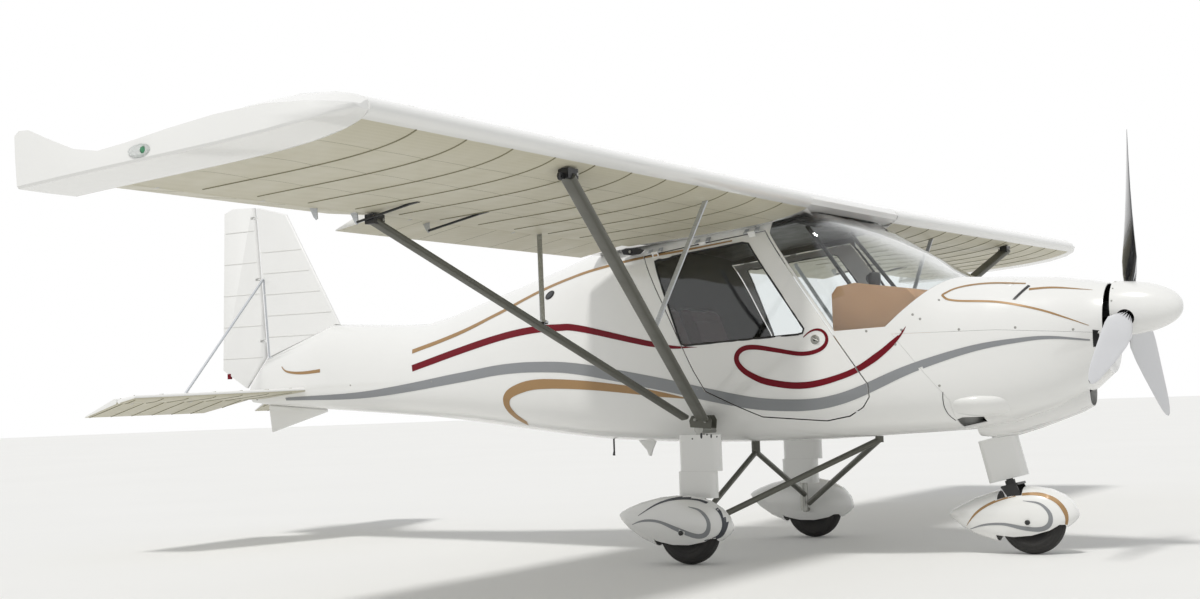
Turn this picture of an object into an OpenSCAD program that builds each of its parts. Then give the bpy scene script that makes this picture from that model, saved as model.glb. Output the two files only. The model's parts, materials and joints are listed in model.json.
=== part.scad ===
/* [Fuselage] */
// Wall of the moulded skins and doors
skin = 5; // [3:0.5:8]
// Half width of the cabin at its widest
cabin_half_w = 620; // [560:5:680]
// Height of the belly above the ground at the cabin
belly_z = 602; // [560:2:640]
// Clear gap round each door
door_gap = 6; // [5:0.5:10]
// Thickness of the clear panels
glass_t = 3; // [2:0.5:4]

/* [Wing] */
// Chord from leading edge to trailing edge
chord = 1400; // [1200:10:1600]
// Distance from the aircraft's centre line to the wing root
root_y = 602; // [590:2:640]
// Distance from the centre line to the seam of the moulded tip
seam_y = 4250; // [3800:10:4600]
// Width of the moulded tip outboard of its seam
tip_w = 280; // [200:10:350]
// Angle of the chord, leading edge up
incidence = 7.6; // [4:0.1:9]
// Upward slope of each wing
dihedral = 0.42; // [0:0.02:3]
// Thickness of the wing as a share of its chord
wing_thick = 0.125; // [0.1:0.005:0.14]
// Chord of the aileron and flap behind their hinge
flap_chord = 262; // [220:2:300]
// Radius of the aileron and flap noses
flap_nose = 31; // [24:1:34]
// Spanwise place where flap and aileron meet
flap_end_y = 2760; // [2400:10:3200]
// Angle at which the ailerons rest, trailing edge up
aileron_rest = 8; // [0:1:12]
// Angle at which the flaps rest, trailing edge down
flap_rest = 9; // [0:1:15]

/* [Struts] */
// Chord of the front strut
front_strut_c = 72; // [50:2:90]
// Chord of the rear strut
rear_strut_c = 52; // [40:2:80]
// Distance of the strut feet from the centre line
strut_foot_y = 652; // [645:1:670]
// Distance of the strut tops from the centre line
strut_top_y = 2870; // [2500:10:3200]

/* [Tail] */
// Half span of the stabiliser
tail_half = 1290; // [1100:10:1450]
// Chord of the elevator behind its hinge
elevator_chord = 285; // [220:5:340]
// Angle at which the elevators rest, trailing edge down
elevator_rest = 18; // [0:1:20]
// Height of the tip of the fin
fin_top_z = 2180; // [1900:10:2400]

/* [Undercarriage] */
// Outer radius of every tyre
tyre_r = 168; // [150:2:180]
// Width of every tyre
tyre_w = 100; // [80:2:110]
// Distance of the main wheels from the centre line
track_half = 800; // [790:2:860]
// Place of the main axle along the aircraft
main_axle_x = 774; // [740:2:810]
// Place of the nose axle along the aircraft
nose_axle_x = 2326; // [2300:2:2350]
// Radius of the axles
axle_r = 12; // [10:0.5:15]

/* [Propeller] */
// Radius of the propeller
prop_r = 911; // [800:5:950]
// Radius of the spinner at its base
spinner_r = 138; // [110:2:150]
// Length of the spinner
spinner_l = 324; // [260:2:360]
// Height of the propeller axis above the ground
prop_z = 1224; // [1200:2:1260]

/* [Hidden] */

fit = 0.3;          // gap of a seated or running fit
run = 6;            // clear gap between a fixed and a moving piece
eps = 0.01;

white = "#F4F4F2";
grey = "#5A5E58";
black = "#1B1B1C";

// ---------------------------------------------------------------- body form
// Sections of the fuselage, each a rounded box whose corners sharpen with its exponents
SX = 0;             // place along the aircraft
SW = 1;             // half width
SB = 2;             // lowest point
SM = 3;             // height of the widest point
ST = 4;             // highest point
SNT = 5;            // exponent above the widest point
SNB = 6;            // exponent below it
sections = [
  [-2860,  34,  915,  990, 1044, 2.1, 2.1],
  [-2720,  62,  895, 1020, 1203, 2.1, 2.2],
  [-2150, 150,  848, 1020, 1396, 2.1, 2.3],
  [-1600, 232,  805, 1015, 1364, 2.1, 2.4],
  [-1390, 262,  788, 1015, 1362, 2.1, 2.4],
  [-1200, 292,  768, 1015, 1400, 2.1, 2.5],
  [ -960, 335,  740, 1020, 1470, 2.2, 2.6],
  [ -660, 392,  700, 1030, 1548, 2.4, 2.8],
  [ -310, 464,  656, 1045, 1636, 3.0, 3.0],
  [  -30, 518,  628, 1060, 1698, 4.2, 3.3],
  [  343, 580,  belly_z + 8, 1080, 1716, 6.0, 3.7],
  [  700, cabin_half_w - 4, belly_z, 1095, 1748, 7.0, 4.0],
  [ 1000, cabin_half_w, belly_z, 1100, 1779, 7.5, 4.0],
  [ 1363, cabin_half_w, belly_z + 6, 1100, 1815, 7.5, 4.0],
  [ 1540, 612, belly_z + 14, 1100, 1718, 5.5, 3.9],
  [ 1700, 586, belly_z + 22, 1098, 1628, 4.2, 3.7],
  [ 1850, 548,  630, 1094, 1545, 3.3, 3.5],
  [ 2060, 470,  640, 1088, 1430, 2.6, 3.2],
  [ 2300, 384,  672, 1085, 1416, 2.4, 2.9],
  [ 2520, 306,  742, 1095, 1400, 2.3, 2.6],
  [ 2680, 244,  830, 1110, 1376, 2.2, 2.4],
  [ 2772, 196,  906, 1125, 1356, 2.1, 2.2]
];
ring_n = 40;        // points round each section

function lerp(a, b, t) = a + (b - a) * t;
function pow_sign(v, n) = sign(v) * pow(abs(v), n);

// One ring of the body, drawn in by the given depth and cut off at a lower depth for its ends
function body_ring(s, inset) = [
  for (k = [0 : ring_n - 1])
    let (a = 360 * k / ring_n, up = sin(a) >= 0, n = up ? s[SNT] : s[SNB])
    let (h = (up ? s[ST] - s[SM] : s[SM] - s[SB]) - inset)
    [s[SX], (s[SW] - inset) * pow_sign(cos(a), 2 / n), s[SM] + h * pow_sign(sin(a), 2 / n)]
];

// A section at any place, worked out between its neighbours in the table
function section_at(x) =
  let (i = max([for (k = [0 : len(sections) - 2]) sections[k][SX] <= x ? k : 0]))
  let (a = sections[i], b = sections[i + 1], t = (x - a[SX]) / (b[SX] - a[SX]))
  [for (c = [0 : 6]) lerp(a[c], b[c], t)];

// Half width of the skin at a place and a height above the widest point
function skin_y(x, z) =
  let (s = section_at(x), h = (z - s[SM]) / (s[ST] - s[SM]))
  s[SW] * pow(1 - pow(h, s[SNT]), 1 / s[SNT]);

// Solid between two rings of any shape, by the hull of their points
module ring_hull(a, b) {
  n = len(a);
  hull()
    polyhedron(concat(a, b), [[for (k = [0 : n - 1]) k], [for (k = [0 : n - 1]) n + k], [0, 1, n]]);
}

// The body as a solid between two places, all its faces drawn in by inset
module body(inset, x0, x1) {
  inner = [for (s = sections) if (s[SX] > x0 + 1 && s[SX] < x1 - 1) s];
  run_of = concat([section_at(x0)], inner, [section_at(x1)]);
  for (i = [0 : len(run_of) - 2])
    ring_hull(body_ring(run_of[i], inset), body_ring(run_of[i + 1], inset));
}

body_x0 = sections[0][SX];
body_x1 = sections[len(sections) - 1][SX];

// Skin of the body between two places, from one depth to a deeper one
module body_skin(d0, d1, x0, x1) {
  difference() {
    body(d0, x0, x1);
    body(d1, x0, x1);
  }
}

// A side-view outline stood upright and pushed through sideways
module through(pts, y0, y1, grow = 0) {
  translate([0, y1, 0])
    rotate([90, 0, 0])
      linear_extrude(y1 - y0)
        offset(delta = grow)
          polygon(pts);
}

// A solid and its mirror image on the other side
module pair() {
  children();
  mirror([0, 1, 0]) children();
}

module side(s) {
  if (s > 0) children();
  else mirror([0, 1, 0]) children();
}

// ------------------------------------------------------------- panel seams
split_z = 1138;     // joint of upper and lower cowl
cowl_nose_z = 1102; // the same joint at the nose
seam_top = [1822, split_z];
seam_low = [2062, 800];
seam_foot = [2075, 500];

door_pts = [
  [430, 1622], [1165, 1702], [1490, 1205], [1690, 892], [1690, 830],
  [1652, 780], [1575, 737], [1450, 716], [1105, 745], [960, 810], [800, 886], [732, 1000]
];
window_pts = [
  [505, 1592], [530, 1600], [1040, 1652], [1075, 1645],
  [1375, 1186], [1368, 1164], [1340, 1158], [690, 1130], [662, 1142]
];
// Windscreen seen from the side: pillar edge, sill, cowl edge, roof edge
screen_pts = [
  [1195, 1690], [1538, 1166], [1790, 1176], [2064, 1432], [2064, 1900], [1195, 1900]
];

// Everything in front of the cowl joint, as one side-view outline
upper_cowl_pts = [
  [1552, split_z + 1], [2300, split_z + 1], [2800, cowl_nose_z + 1],
  [2800, 1500], [2070, 1437], [1792, 1172], [1536, 1162]
];
lower_cowl_pts = [
  [seam_top[0], split_z], [2300, split_z], [2800, cowl_nose_z], [2800, 500],
  seam_foot, seam_low
];

// ------------------------------------------------------------------- wing
wing_le = [1450, 0, 1846];        // leading edge at the root
rear_face = 0.782 * chord;        // place of the rear spar face behind the leading edge
flap_axis = rear_face + run + flap_nose;
camber = 0.022;

function foil_half(s) =
  5 * wing_thick * chord
  * (0.2969 * sqrt(s) - 0.126 * s - 0.3516 * s * s + 0.2843 * pow(s, 3) - 0.1015 * pow(s, 4));
function foil_mid(s) = 4 * camber * chord * s * (1 - s);

// Wing section in its own frame: first number aft of the leading edge, second up
foil_n = 12;
function foil_s(k, end) = end * pow(k / foil_n, 1.8);
function foil(end) = concat(
  [for (k = [0 : foil_n]) let (s = foil_s(k, end)) [-s * chord, foil_mid(s) + foil_half(s)]],
  [for (k = [foil_n : -1 : 1]) let (s = foil_s(k, end)) [-s * chord, foil_mid(s) - foil_half(s)]]
);

// Places children in the frame of one wing panel: X forward, Y outboard, Z up, at its root
module wing_frame(s) {
  side(s)
    translate([wing_le[0], root_y, wing_le[2]])
      rotate([dihedral, 0, 0])
        rotate([0, -incidence, 0])
          children();
}

// A section of the wing frame swept outboard from y0 to y1
module spanwise(y0, y1) {
  translate([0, y1, 0])
    rotate([90, 0, 0])
      linear_extrude(y1 - y0)
        children();
}

// Section of a control surface: round nose on the hinge, thin trailing edge aft of it
module surface_section(nose, length, edge) {
  lean = asin((nose - edge) / (length - edge));
  arc_a = [for (k = [0 : 8]) lerp(90 + lean, -90 - lean, k / 8)];
  arc_b = [for (k = [0 : 4]) lerp(-90 - lean, -270 + lean, k / 4)];
  polygon(concat(
    [for (a = arc_a) [nose * cos(a), nose * sin(a)]],
    [for (a = arc_b) [-(length - edge) + edge * cos(a), edge * sin(a)]]
  ));
}

root_gap = 0.7;                   // keeps the sloping root face off the roof fairing
flap_mid_z = foil_mid(flap_axis / chord);
lug_t = 6;                        // thickness of a hinge lug
lug_gap = 5;                      // clear gap on each side of it
lug_r = 11;
pin_r = 4;
aileron_y = [flap_end_y + 20, seam_y - 15];
flap_y = [root_y + 30, flap_end_y - 20];
function hinge_ys(r) = [for (t = [0.1, 0.5, 0.9]) lerp(r[0], r[1], t) - root_y];

// Aileron or flap of one wing, in the wing frame
module wing_surface(range, rest) {
  translate([-flap_axis, 0, flap_mid_z])
    rotate([0, rest, 0]) {
      difference() {
        spanwise(range[0] - root_y, range[1] - root_y)
          surface_section(flap_nose, flap_chord, 3);
        for (y = hinge_ys(range))
          translate([-lug_r - 7, y - lug_t / 2 - lug_gap, -flap_nose - 1])
            cube([lug_r + 7 + flap_nose + 1, lug_t + 2 * lug_gap, 2 * flap_nose + 2]);
      }
      for (y = hinge_ys(range))
        translate([0, y + lug_t / 2 + lug_gap + 4, 0])
          rotate([90, 0, 0])
            cylinder(r = pin_r, h = lug_t + 2 * lug_gap + 8, $fn = 24);
    }
}

// Lugs on the rear spar that carry a surface's pins, in the wing frame
module wing_lugs(range) {
  for (y = hinge_ys(range))
    translate([-flap_axis, y, flap_mid_z])
      difference() {
        union() {
          spanwise(-lug_t / 2, lug_t / 2)
            circle(r = lug_r, $fn = 32);
          translate([0, -lug_t / 2, -lug_r])
            cube([flap_nose + run + 20, lug_t, 2 * lug_r]);
        }
        spanwise(-lug_t, lug_t)
          circle(r = pin_r + fit, $fn = 24);
      }
}

module wing(s) {
  wing_frame(s) {
    spanwise(root_gap, seam_y - root_y)
      polygon(foil(rear_face / chord));
    wing_lugs(aileron_y);
    wing_lugs(flap_y);
  }
}

// Moulded tip as rings across the aircraft, from nose to trailing edge.
TX = 0;             // place aft of the leading edge as a share of the chord
TO = 1;             // reach outboard as a share of the tip width
TL = 2;             // height of the outer lip above the underside
tip_table = [
  [0.004, 0.28,   8], [0.03, 0.55,  34], [0.08, 0.74,  62], [0.18, 0.88,  92], [0.32, 0.96,  98],
  [0.46, 0.99,  88], [0.60, 1.00,  72], [0.70, 1.00,  66], [0.78, 1.00,  92], [0.86, 1.00, 146],
  [0.93, 1.00, 198], [0.965, 1.00, 204], [0.985, 0.99, 190]
];
tip_arc = 6;
function tip_ring(r) =
  let (s = r[TX], w = r[TO] * tip_w)
  let (lo = foil_mid(s) - foil_half(s), hi = foil_mid(s) + foil_half(s) + 2)
  let (lip = lo + r[TL], thin = min(18, w / 3))
  concat(
    [[-s * chord, 0, lo], [-s * chord, w * 0.5, lo], [-s * chord, w - 8, lo + 3], [-s * chord, w, lo + 12]],
    [[-s * chord, w - thin * 0.3, lo + r[TL] * 0.6 + 6], [-s * chord, w - thin * 0.7, lip + 8]],
    [for (k = [0 : tip_arc])
      let (t = k / tip_arc, e = 0.5 - 0.5 * cos(180 * t))
      [-s * chord, lerp(w - thin * 1.4, 0, t), lerp(lip + 6, hi, lip > hi ? 1 - pow(1 - t, 2.6) : e)]]
  );

// Solid skinned over a list of like rings, wound so that its faces point outward
module loft(rings, flip = false) {
  n = len(rings[0]);
  m = len(rings);
  function f(t) = flip ? [t[0], t[2], t[1]] : t;
  walls = [for (i = [0 : m - 2]) for (j = [0 : n - 1])
    let (a = i * n + j, b = i * n + (j + 1) % n)
    each [f([a, b + n, b]), f([a, a + n, b + n])]];
  first = [for (j = [0 : n - 1]) flip ? n - 1 - j : j];
  last = [for (j = [0 : n - 1]) (m - 1) * n + (flip ? j : n - 1 - j)];
  polyhedron([for (r = rings) for (p = r) p], concat(walls, [first, last]), convexity = 6);
}

module wing_tip(s) {
  wing_frame(s)
    translate([0, seam_y - root_y + fit, 0])
      loft([for (r = tip_table) tip_ring(r)]);
}

// ----------------------------------------------------------------- struts
function wing_at(s, y) =
  let (d = s * chord, z = foil_mid(s) - foil_half(s))
  [wing_le[0] - d * cos(incidence) + z * sin(incidence),
   y,
   wing_le[2] - d * sin(incidence) + z * cos(incidence) + (y - root_y) * tan(dihedral)];

front_s = 0.058;    // share of the chord at which the front strut is fixed
rear_s = 0.765;
fitting_drop = 34;
strut_foot = [800, strut_foot_y, 709];
front_top = wing_at(front_s, strut_top_y) - [0, 0, fitting_drop];
rear_top = wing_at(rear_s, strut_top_y) - [0, 0, fitting_drop];
jury_y = 1540;       // clear of the lower edge of an open door
front_clamp_y = 1614;
rear_clamp_y = 1842;
function on_line(a, b, y) = a + (b - a) * (y - a[1]) / (b[1] - a[1]);
front_jury = [on_line(strut_foot, front_top, front_clamp_y), wing_at(0.095, jury_y) - [0, 0, fit]];
rear_jury = [on_line(strut_foot, rear_top, rear_clamp_y), wing_at(rear_s, jury_y) - [0, 0, fit]];

// Streamlined bar between two points, its long side fore and aft
module bar(a, b, c, t) {
  v = b - a;
  len_v = norm(v);
  turn = atan2(v[1], v[0]);
  dip = acos(v[2] / len_v);
  translate(a)
    rotate([0, dip, turn])
      rotate([0, 0, -turn])
        linear_extrude(len_v)
          streamline(c, t);
}

// Flattened oval with round ends
module streamline(c, t) {
  flat = c - t;
  n = 12;
  polygon(concat(
    [for (k = [0 : n]) [flat / 2 + t / 2 * cos(-90 + 180 * k / n), t / 2 * sin(-90 + 180 * k / n)]],
    [for (k = [0 : n]) [-flat / 2 + t / 2 * cos(90 + 180 * k / n), t / 2 * sin(90 + 180 * k / n)]]
  ));
}

// Round tube or rod between two points
module rod(a, b, r) {
  v = b - a;
  translate(a)
    rotate([0, acos(v[2] / norm(v)), atan2(v[1], v[0])])
      cylinder(r = r, h = norm(v), $fn = 24);
}

// ================================================================ fuselage
door_x = [360, 1760];
knuckle_r = 5;
hinge_out = 11;                   // hinge line outboard of the skin
hinge_a = [480, skin_y(480, 1614) + hinge_out, 1637];
hinge_b = [1120, skin_y(1120, 1684) + hinge_out, 1707];
hinge_dir = (hinge_b - hinge_a) / norm(hinge_b - hinge_a);
beam_r = 26;                      // cross beam that carries the main legs
beam = [782, 0, 690];

module fuselage_shell() {
  color(white)
    difference() {
      body_skin(0, skin, body_x0, 2075);
      pair()
        through(door_pts, 300, 900, door_gap);
      through(screen_pts, -900, 900);
      through(upper_cowl_pts, -900, 900);
      through(lower_cowl_pts, -900, 900, 1);
      rod([beam[0], -900, beam[2]], [beam[0], 900, beam[2]], beam_r + fit);
      translate([elevator_hinge[0], 0, elevator_hinge[2]])
        rotate([90, 0, 0])
          cylinder(r = 12 + run, h = 400, center = true, $fn = 32);
      pair()
        stab_panel(fit);
    }
}

module roof_fairing() {
  color(white)
    difference() {
      translate([wing_le[0], 0, wing_le[2]])
        rotate([0, -incidence, 0])
          spanwise(-root_y + fit, root_y - fit)
            polygon(foil(0.995));
      body(-fit, -400, 1700);
      pair()
        translate([wing_le[0] - chord, root_y - 70, 1500])
          cube([flap_chord + 120, 100, 300]);
    }
}

// --------------------------------------------------------------- cowlings
module upper_cowl() {
  color(white)
    difference() {
      intersection() {
        body_skin(0, skin, 1500, body_x1);
        through(upper_cowl_pts, -900, 900);
      }
      translate([2780, 0, prop_z])
        rotate([0, 90, 0])
          cylinder(r = 60, h = 200, center = true, $fn = 32);
    }
  color(white)
    pair()
      scoop();
}

// Raised air scoop on the shoulder of the upper cowl
module scoop() {
  hull() {
    translate([2190, 165, 1392]) sphere(r = 12, $fn = 16);
    translate([2330, 215, 1345]) sphere(r = 30, $fn = 16);
    translate([2330, 160, 1372]) sphere(r = 30, $fn = 16);
  }
}

// Duct under the nose: place, half width, lowest, middle and highest point
duct_table = [
  [2085, 96, 604, 690, 776], [2180, 112, 592, 690, 790], [2280, 112, 606, 706, 806],
  [2400, 104, 640, 738, 836], [2520, 92, 682, 776, 870], [2610, 82, 714, 802, 890],
  [2664, 74, 742, 824, 906]
];
duct_skin = 4;
module duct(inset, from = 0) {
  for (i = [from : len(duct_table) - 2])
    ring_hull(duct_ring(duct_table[i], inset), duct_ring(duct_table[i + 1], inset));
}
function duct_ring(r, inset) = [
  for (k = [0 : 27])
    let (a = 360 * k / 28, up = sin(a) >= 0)
    [r[0] + (inset > 0 && r == duct_table[len(duct_table) - 1] ? 1 : 0),
     (r[1] - inset) * pow_sign(cos(a), 0.86),
     r[3] + ((up ? r[4] - r[3] : r[3] - r[2]) - inset) * pow_sign(sin(a), 0.86)]
];

leg_top = [2161, 0, 600];
leg_low = [2219, 0, 357];
leg_dir = (leg_low - leg_top) / norm(leg_low - leg_top);

module lower_cowl() {
  color(white)
    difference() {
      union() {
        intersection() {
          body(0, 1700, body_x1);
          through(lower_cowl_pts, -900, 900);
        }
        duct(0);
      }
      body(skin, 1690, body_x1 - skin);
      duct(duct_skin, 2);
      pair()
        translate([2772, 128, 1062])
          scale([1, 1, 0.9])
            rotate([0, 90, 0])
              cylinder(r = 34, h = 60, center = true, $fn = 24);
      pair()
        translate([2060, 230, 600])
          cube([130, 110, 110]);
      translate([2780, 0, prop_z])
        rotate([0, 90, 0])
          cylinder(r = 60, h = 200, center = true, $fn = 32);
      leg_frame() {
        cylinder(r = stem_r + 14, h = 500, $fn = 32);
        translate([0, 0, 20])
          linear_extrude(240)
            streamline(leg_chord + 2, leg_thick + 2);
      }
    }
}

firewall_x = 2000;
module firewall() {
  color("silver")
    intersection() {
      body(skin + fit, firewall_x - 40, firewall_x + 40);
      translate([firewall_x, -700, 500])
        cube([3, 1400, 862]);
    }
}

engine = [520, 390, 290];         // length, width and height of the engine block
module engine_block() {
  color(black) {
    translate([firewall_x + 3, -engine[1] / 2, prop_z - 215])
      cube([70, engine[1], 200]);
    translate([firewall_x + 73, -engine[1] / 2, prop_z - 215])
      cube(engine);
    translate([firewall_x + 73 + engine[0] - eps, 0, prop_z])
      rotate([0, 90, 0])
        cylinder(r = 40, h = hub[0] + 1.5 - fit - firewall_x - 73 - engine[0], $fn = 48);
  }
}

module windscreen() {
  color("lightblue", 0.5)
    intersection() {
      difference() {
        body(1, 1150, 2110);
        body(1 + glass_t, 1140, 2120);
      }
      through(screen_pts, -900, 900, -1);
      translate([1000, -1000, 1000])
        cube([1400, 2000, 813 - fit]);
    }
}

// ------------------------------------------------------------------ cabin
module instrument_panel() {
  color("tan")
    difference() {
      intersection() {
        body(30, 1440, firewall_x - fit);
        through([[1470, 1100], [1470, 1360], [1500, 1398], [1600, 1412], [2010, 1345], [2010, 1100]],
                -460, 460);
      }
      translate([1440, -380, 1060])
        cube([140, 760, 270]);
    }
}

floor_z = 650;
seat_z = 800;
module cabin_floor() {
  color("dimgray")
    difference() {
      intersection() {
        body(skin + fit, 330, 1960);
        union() {
          translate([340, -700, floor_z - 6])
            cube([1610, 1400, 6]);
          translate([420, -500, floor_z - eps])
            cube([620, 1000, seat_z - floor_z]);
        }
      }
      rod([beam[0], -900, beam[2]], [beam[0], 900, beam[2]], beam_r + fit);
      translate([400, -480, floor_z])
        cube([620, 960, seat_z - floor_z - 12]);
    }
}

module rounded_block(size, r) {
  translate([r, r, r])
    hull()
      for (x = [0, size[0] - 2 * r], y = [0, size[1] - 2 * r], z = [0, size[2] - 2 * r])
        translate([x, y, z]) sphere(r = r, $fn = 16);
}

seat_w = 470;
module seat_cushions() {
  color("maroon")
    pair()
      translate([557, 18, seat_z + fit])
        rounded_block([455, seat_w, 100], 28);
}

module seat_backs() {
  color("maroon")
    pair()
      translate([470, 18, seat_z - 7.5])
        rotate([0, -20, 0])
          rounded_block([85, seat_w, 610], 28);
}

// ------------------------------------------------------------------ doors
module door(s) {
  side(s)
    color(white) {
      difference() {
        intersection() {
          body_skin(0, skin, door_x[0], door_x[1]);
          through(door_pts, 300, 900);
        }
        through(window_pts, 200, 900);
      }
      for (t = hinge_ts)
        at_hinge(t)
          hinge_leaf(-20, 20, [-hinge_out + 1, -26]);
    }
}

// Places children at a door hinge, X along its pin
hinge_ts = [0.04, 0.5, 0.96];
module at_hinge(t) {
  translate(hinge_a + t * (hinge_b - hinge_a))
    rotate([0, -atan2(hinge_dir[2], hinge_dir[0]), 0])
      rotate([0, 0, atan2(hinge_dir[1], hinge_dir[0])])
        children();
}

// Barrel of a hinge with a flat leaf that reaches up or down the skin
module hinge_leaf(x0, x1, tip) {
  w = 1.6 * [-tip[1], tip[0]] / norm(tip);
  translate([x0, 0, 0]) {
    rotate([0, 90, 0])
      cylinder(r = knuckle_r, h = x1 - x0, $fn = 24);
    rotate([90, 0, 90])
      linear_extrude(x1 - x0)
        polygon([w, -w, tip - w, tip + w]);
  }
}

module door_hinges() {
  color("silver")
    pair()
      for (t = hinge_ts)
        at_hinge(t) {
          hinge_leaf(-44, -20 - fit, [-hinge_out - (t == 0.5 ? 10 : 12), 20]);
          hinge_leaf(20 + fit, 44, [-hinge_out - 12, 20]);
        }
}

module door_glass(s) {
  side(s)
    color("lightblue", 0.5)
      intersection() {
        difference() {
          body(1, door_x[0], door_x[1]);
          body(1 + glass_t, door_x[0], door_x[1]);
        }
        through(window_pts, 200, 900, -fit);
      }
}

// ============================================================== propeller
hub = [2796, 0, prop_z];
blade_n = 3;
shaft_r = 42;
blade_turn = 7;
module spinner() {
  color(white)
    translate(hub)
      rotate([0, 90, 0])
        difference() {
          rotate_extrude($fn = 96)
            difference() {
              spinner_outline(spinner_r, spinner_l);
              translate([0, 12]) spinner_outline(spinner_r - 4, spinner_l - 18);
              translate([-1, -1]) square([shaft_r + fit + 1, 14]);
            }
          for (k = [0 : blade_n - 1])
            rotate([0, 0, -blade_turn - 360 * k / blade_n])
              translate([0, 0, blade_x])
                rotate([0, -90, 0])
                  cylinder(r = 44, h = 400, $fn = 48);
        }
}

// Half outline of the spinner: an ellipse arc from its base to its nose
module spinner_outline(r, l) {
  n = 24;
  polygon(concat([[0, 0]], [for (k = [0 : n]) [r * pow(cos(90 * k / n), 0.9), l * sin(90 * k / n)]]));
}

// Stations of a blade: radius as a share, chord, thickness, angle to the disc
blade_x = 70;
blade_table = [
  [0.060,  56, 54, 60], [0.130,  60, 50, 55], [0.190, 110, 34, 48], [0.270, 150, 24, 41],
  [0.380, 158, 19, 33], [0.520, 148, 15, 27], [0.660, 128, 12, 23], [0.800, 104,  9, 20],
  [0.900,  80,  7, 18], [0.965,  52,  5, 17], [1.000,  20,  3, 17]
];
blade_ring_n = 20;
function blade_ring(r) = [
  for (k = [0 : blade_ring_n - 1])
    let (a = 360 * k / blade_ring_n, x = r[1] / 2 * cos(a), y = r[2] / 2 * sin(a))
    [x * cos(r[3]) - y * sin(r[3]), x * sin(r[3]) + y * cos(r[3]), r[0] * prop_r]
];

module propeller() {
  color(black)
    translate(hub + [blade_x, 0, 0]) {
      rotate([0, 90, 0])
        cylinder(r = 58, h = 90, center = true, $fn = 48);
      translate([-45 - 23.5, 0, 0])
        rotate([0, 90, 0])
          cylinder(r = shaft_r, h = 24, $fn = 48);
      for (k = [0 : blade_n - 1])
        rotate([-blade_turn - 360 * k / blade_n, 0, 0])
          rotate([0, 0, 90])
            loft([for (r = blade_table) blade_ring(r)]);
    }
}

// =================================================================== tail
spine_a = [sections[1][SX], sections[1][ST]];      // back of the body under the fin
spine_b = [sections[2][SX], sections[2][ST]];
spine_c = [sections[3][SX], sections[3][ST]];
fin_foot = [-2150, 0, 1404];
hinge_low = [-2752, 0, 1206];     // foot of the rudder post
hinge_top = [-2822, 0, fin_top_z + 22];
fin_le_top = [-2545, 0, fin_top_z - 48];
post_r = 20;
rudder_nose = 17;
elevator_hinge = [-2806, 0, 946];
elevator_nose = 17;
stab_root_y = 42;         // inner end of the stabiliser's rear tube
stab_tube = 13;

module fin() {
  color(white) {
    difference() {
      hull() {
        rod(fin_foot - 0.04 * (fin_le_top - fin_foot) + [18, 0, 0], fin_le_top, 11);
        rod(hinge_low + [52, 0, -30], hinge_top + [48, 0, -6], post_r - 4);
      }
      translate([0, 50, 0])
        rotate([90, 0, 0])
          linear_extrude(100)
            polygon([
              spine_a + [0, fit], spine_b + [0, fit], spine_c + [0, fit],
              spine_c - [0, 300], spine_a - [0, 300]
            ]);
    }
    rudder_frame()
      for (z = hinge_heights)
        tail_lug(z, post_r);
  }
}

module fins() {
  fin();
  ventral_fin();
}

rudder_tilt = atan2(hinge_low[0] - hinge_top[0], hinge_top[2] - hinge_low[2]);
hinge_heights = [110, 520, 930];
module rudder_frame() {
  translate(hinge_low)
    rotate([0, -rudder_tilt, 0])
      children();
}

// Lug that reaches aft from a fixed post to a hinge pin, along the frame's own Z axis
module tail_lug(z, nose) {
  translate([0, 0, z - lug_t / 2])
    difference() {
      union() {
        cylinder(r = lug_r, h = lug_t, $fn = 32);
        translate([0, -lug_r, 0])
          cube([nose + run + 26, 2 * lug_r, lug_t]);
      }
      translate([0, 0, -1])
        cylinder(r = pin_r + fit, h = lug_t + 2, $fn = 24);
    }
}

// Room for a lug, cut in the nose of a moving surface along its own Z axis
module lug_room(z, nose) {
  translate([-lug_r - 7, -nose - 10, z - lug_t / 2 - lug_gap])
    cube([lug_r + 7 + nose + 10, 2 * nose + 20, lug_t + 2 * lug_gap]);
}

module lug_pin(z) {
  translate([0, 0, z - lug_t / 2 - lug_gap - 5])
    cylinder(r = pin_r, h = lug_t + 2 * lug_gap + 10, $fn = 24);
}

rudder_te_top = [-3074, 0, fin_top_z + 4];
rudder_te_low = [-3117, 0, 1134];
rudder_foot = [-2912, 0, 1018];
module rudder() {
  color(white) {
    difference() {
      hull() {
        rod(hinge_low + [0, 0, 4], hinge_top, rudder_nose);
        rod(rudder_te_low, rudder_te_top, 3);
        translate(rudder_foot) rotate([90, 0, 0]) cylinder(r = 8, h = 12, center = true, $fn = 16);
        translate(hinge_top + [-175, 0, 2]) sphere(r = 8, $fn = 16);
      }
      rudder_frame()
        for (z = hinge_heights)
          lug_room(z, rudder_nose);
    }
    rudder_frame()
      for (z = hinge_heights)
        lug_pin(z);
  }
}

// Stabiliser: a leading edge tube and a rear tube under stretched fabric
stab_le_root = [-2330, 114, 984];
stab_le_tip = [-2690, tail_half - 40, 966];
stab_rear = elevator_hinge + [elevator_nose + run + stab_tube, 0, 0];
stab_hinge_y = [150, 650, 1150];
module stab_panel(extra = 0) {
  hull() {
    rod(stab_le_root - [0, 4 * extra, 0], stab_le_tip, stab_tube + extra);
    rod([stab_rear[0], stab_root_y - 4 * extra, stab_rear[2]], [stab_rear[0], tail_half, stab_rear[2]],
      stab_tube + extra);
  }
}

module stabilisers() {
  color(white)
    pair() {
      stab_panel();
      for (y = stab_hinge_y)
        translate([elevator_hinge[0], y, elevator_hinge[2]])
          rotate([-90, 0, 0])
            tail_lug(0, stab_tube);
    }
}

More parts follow.
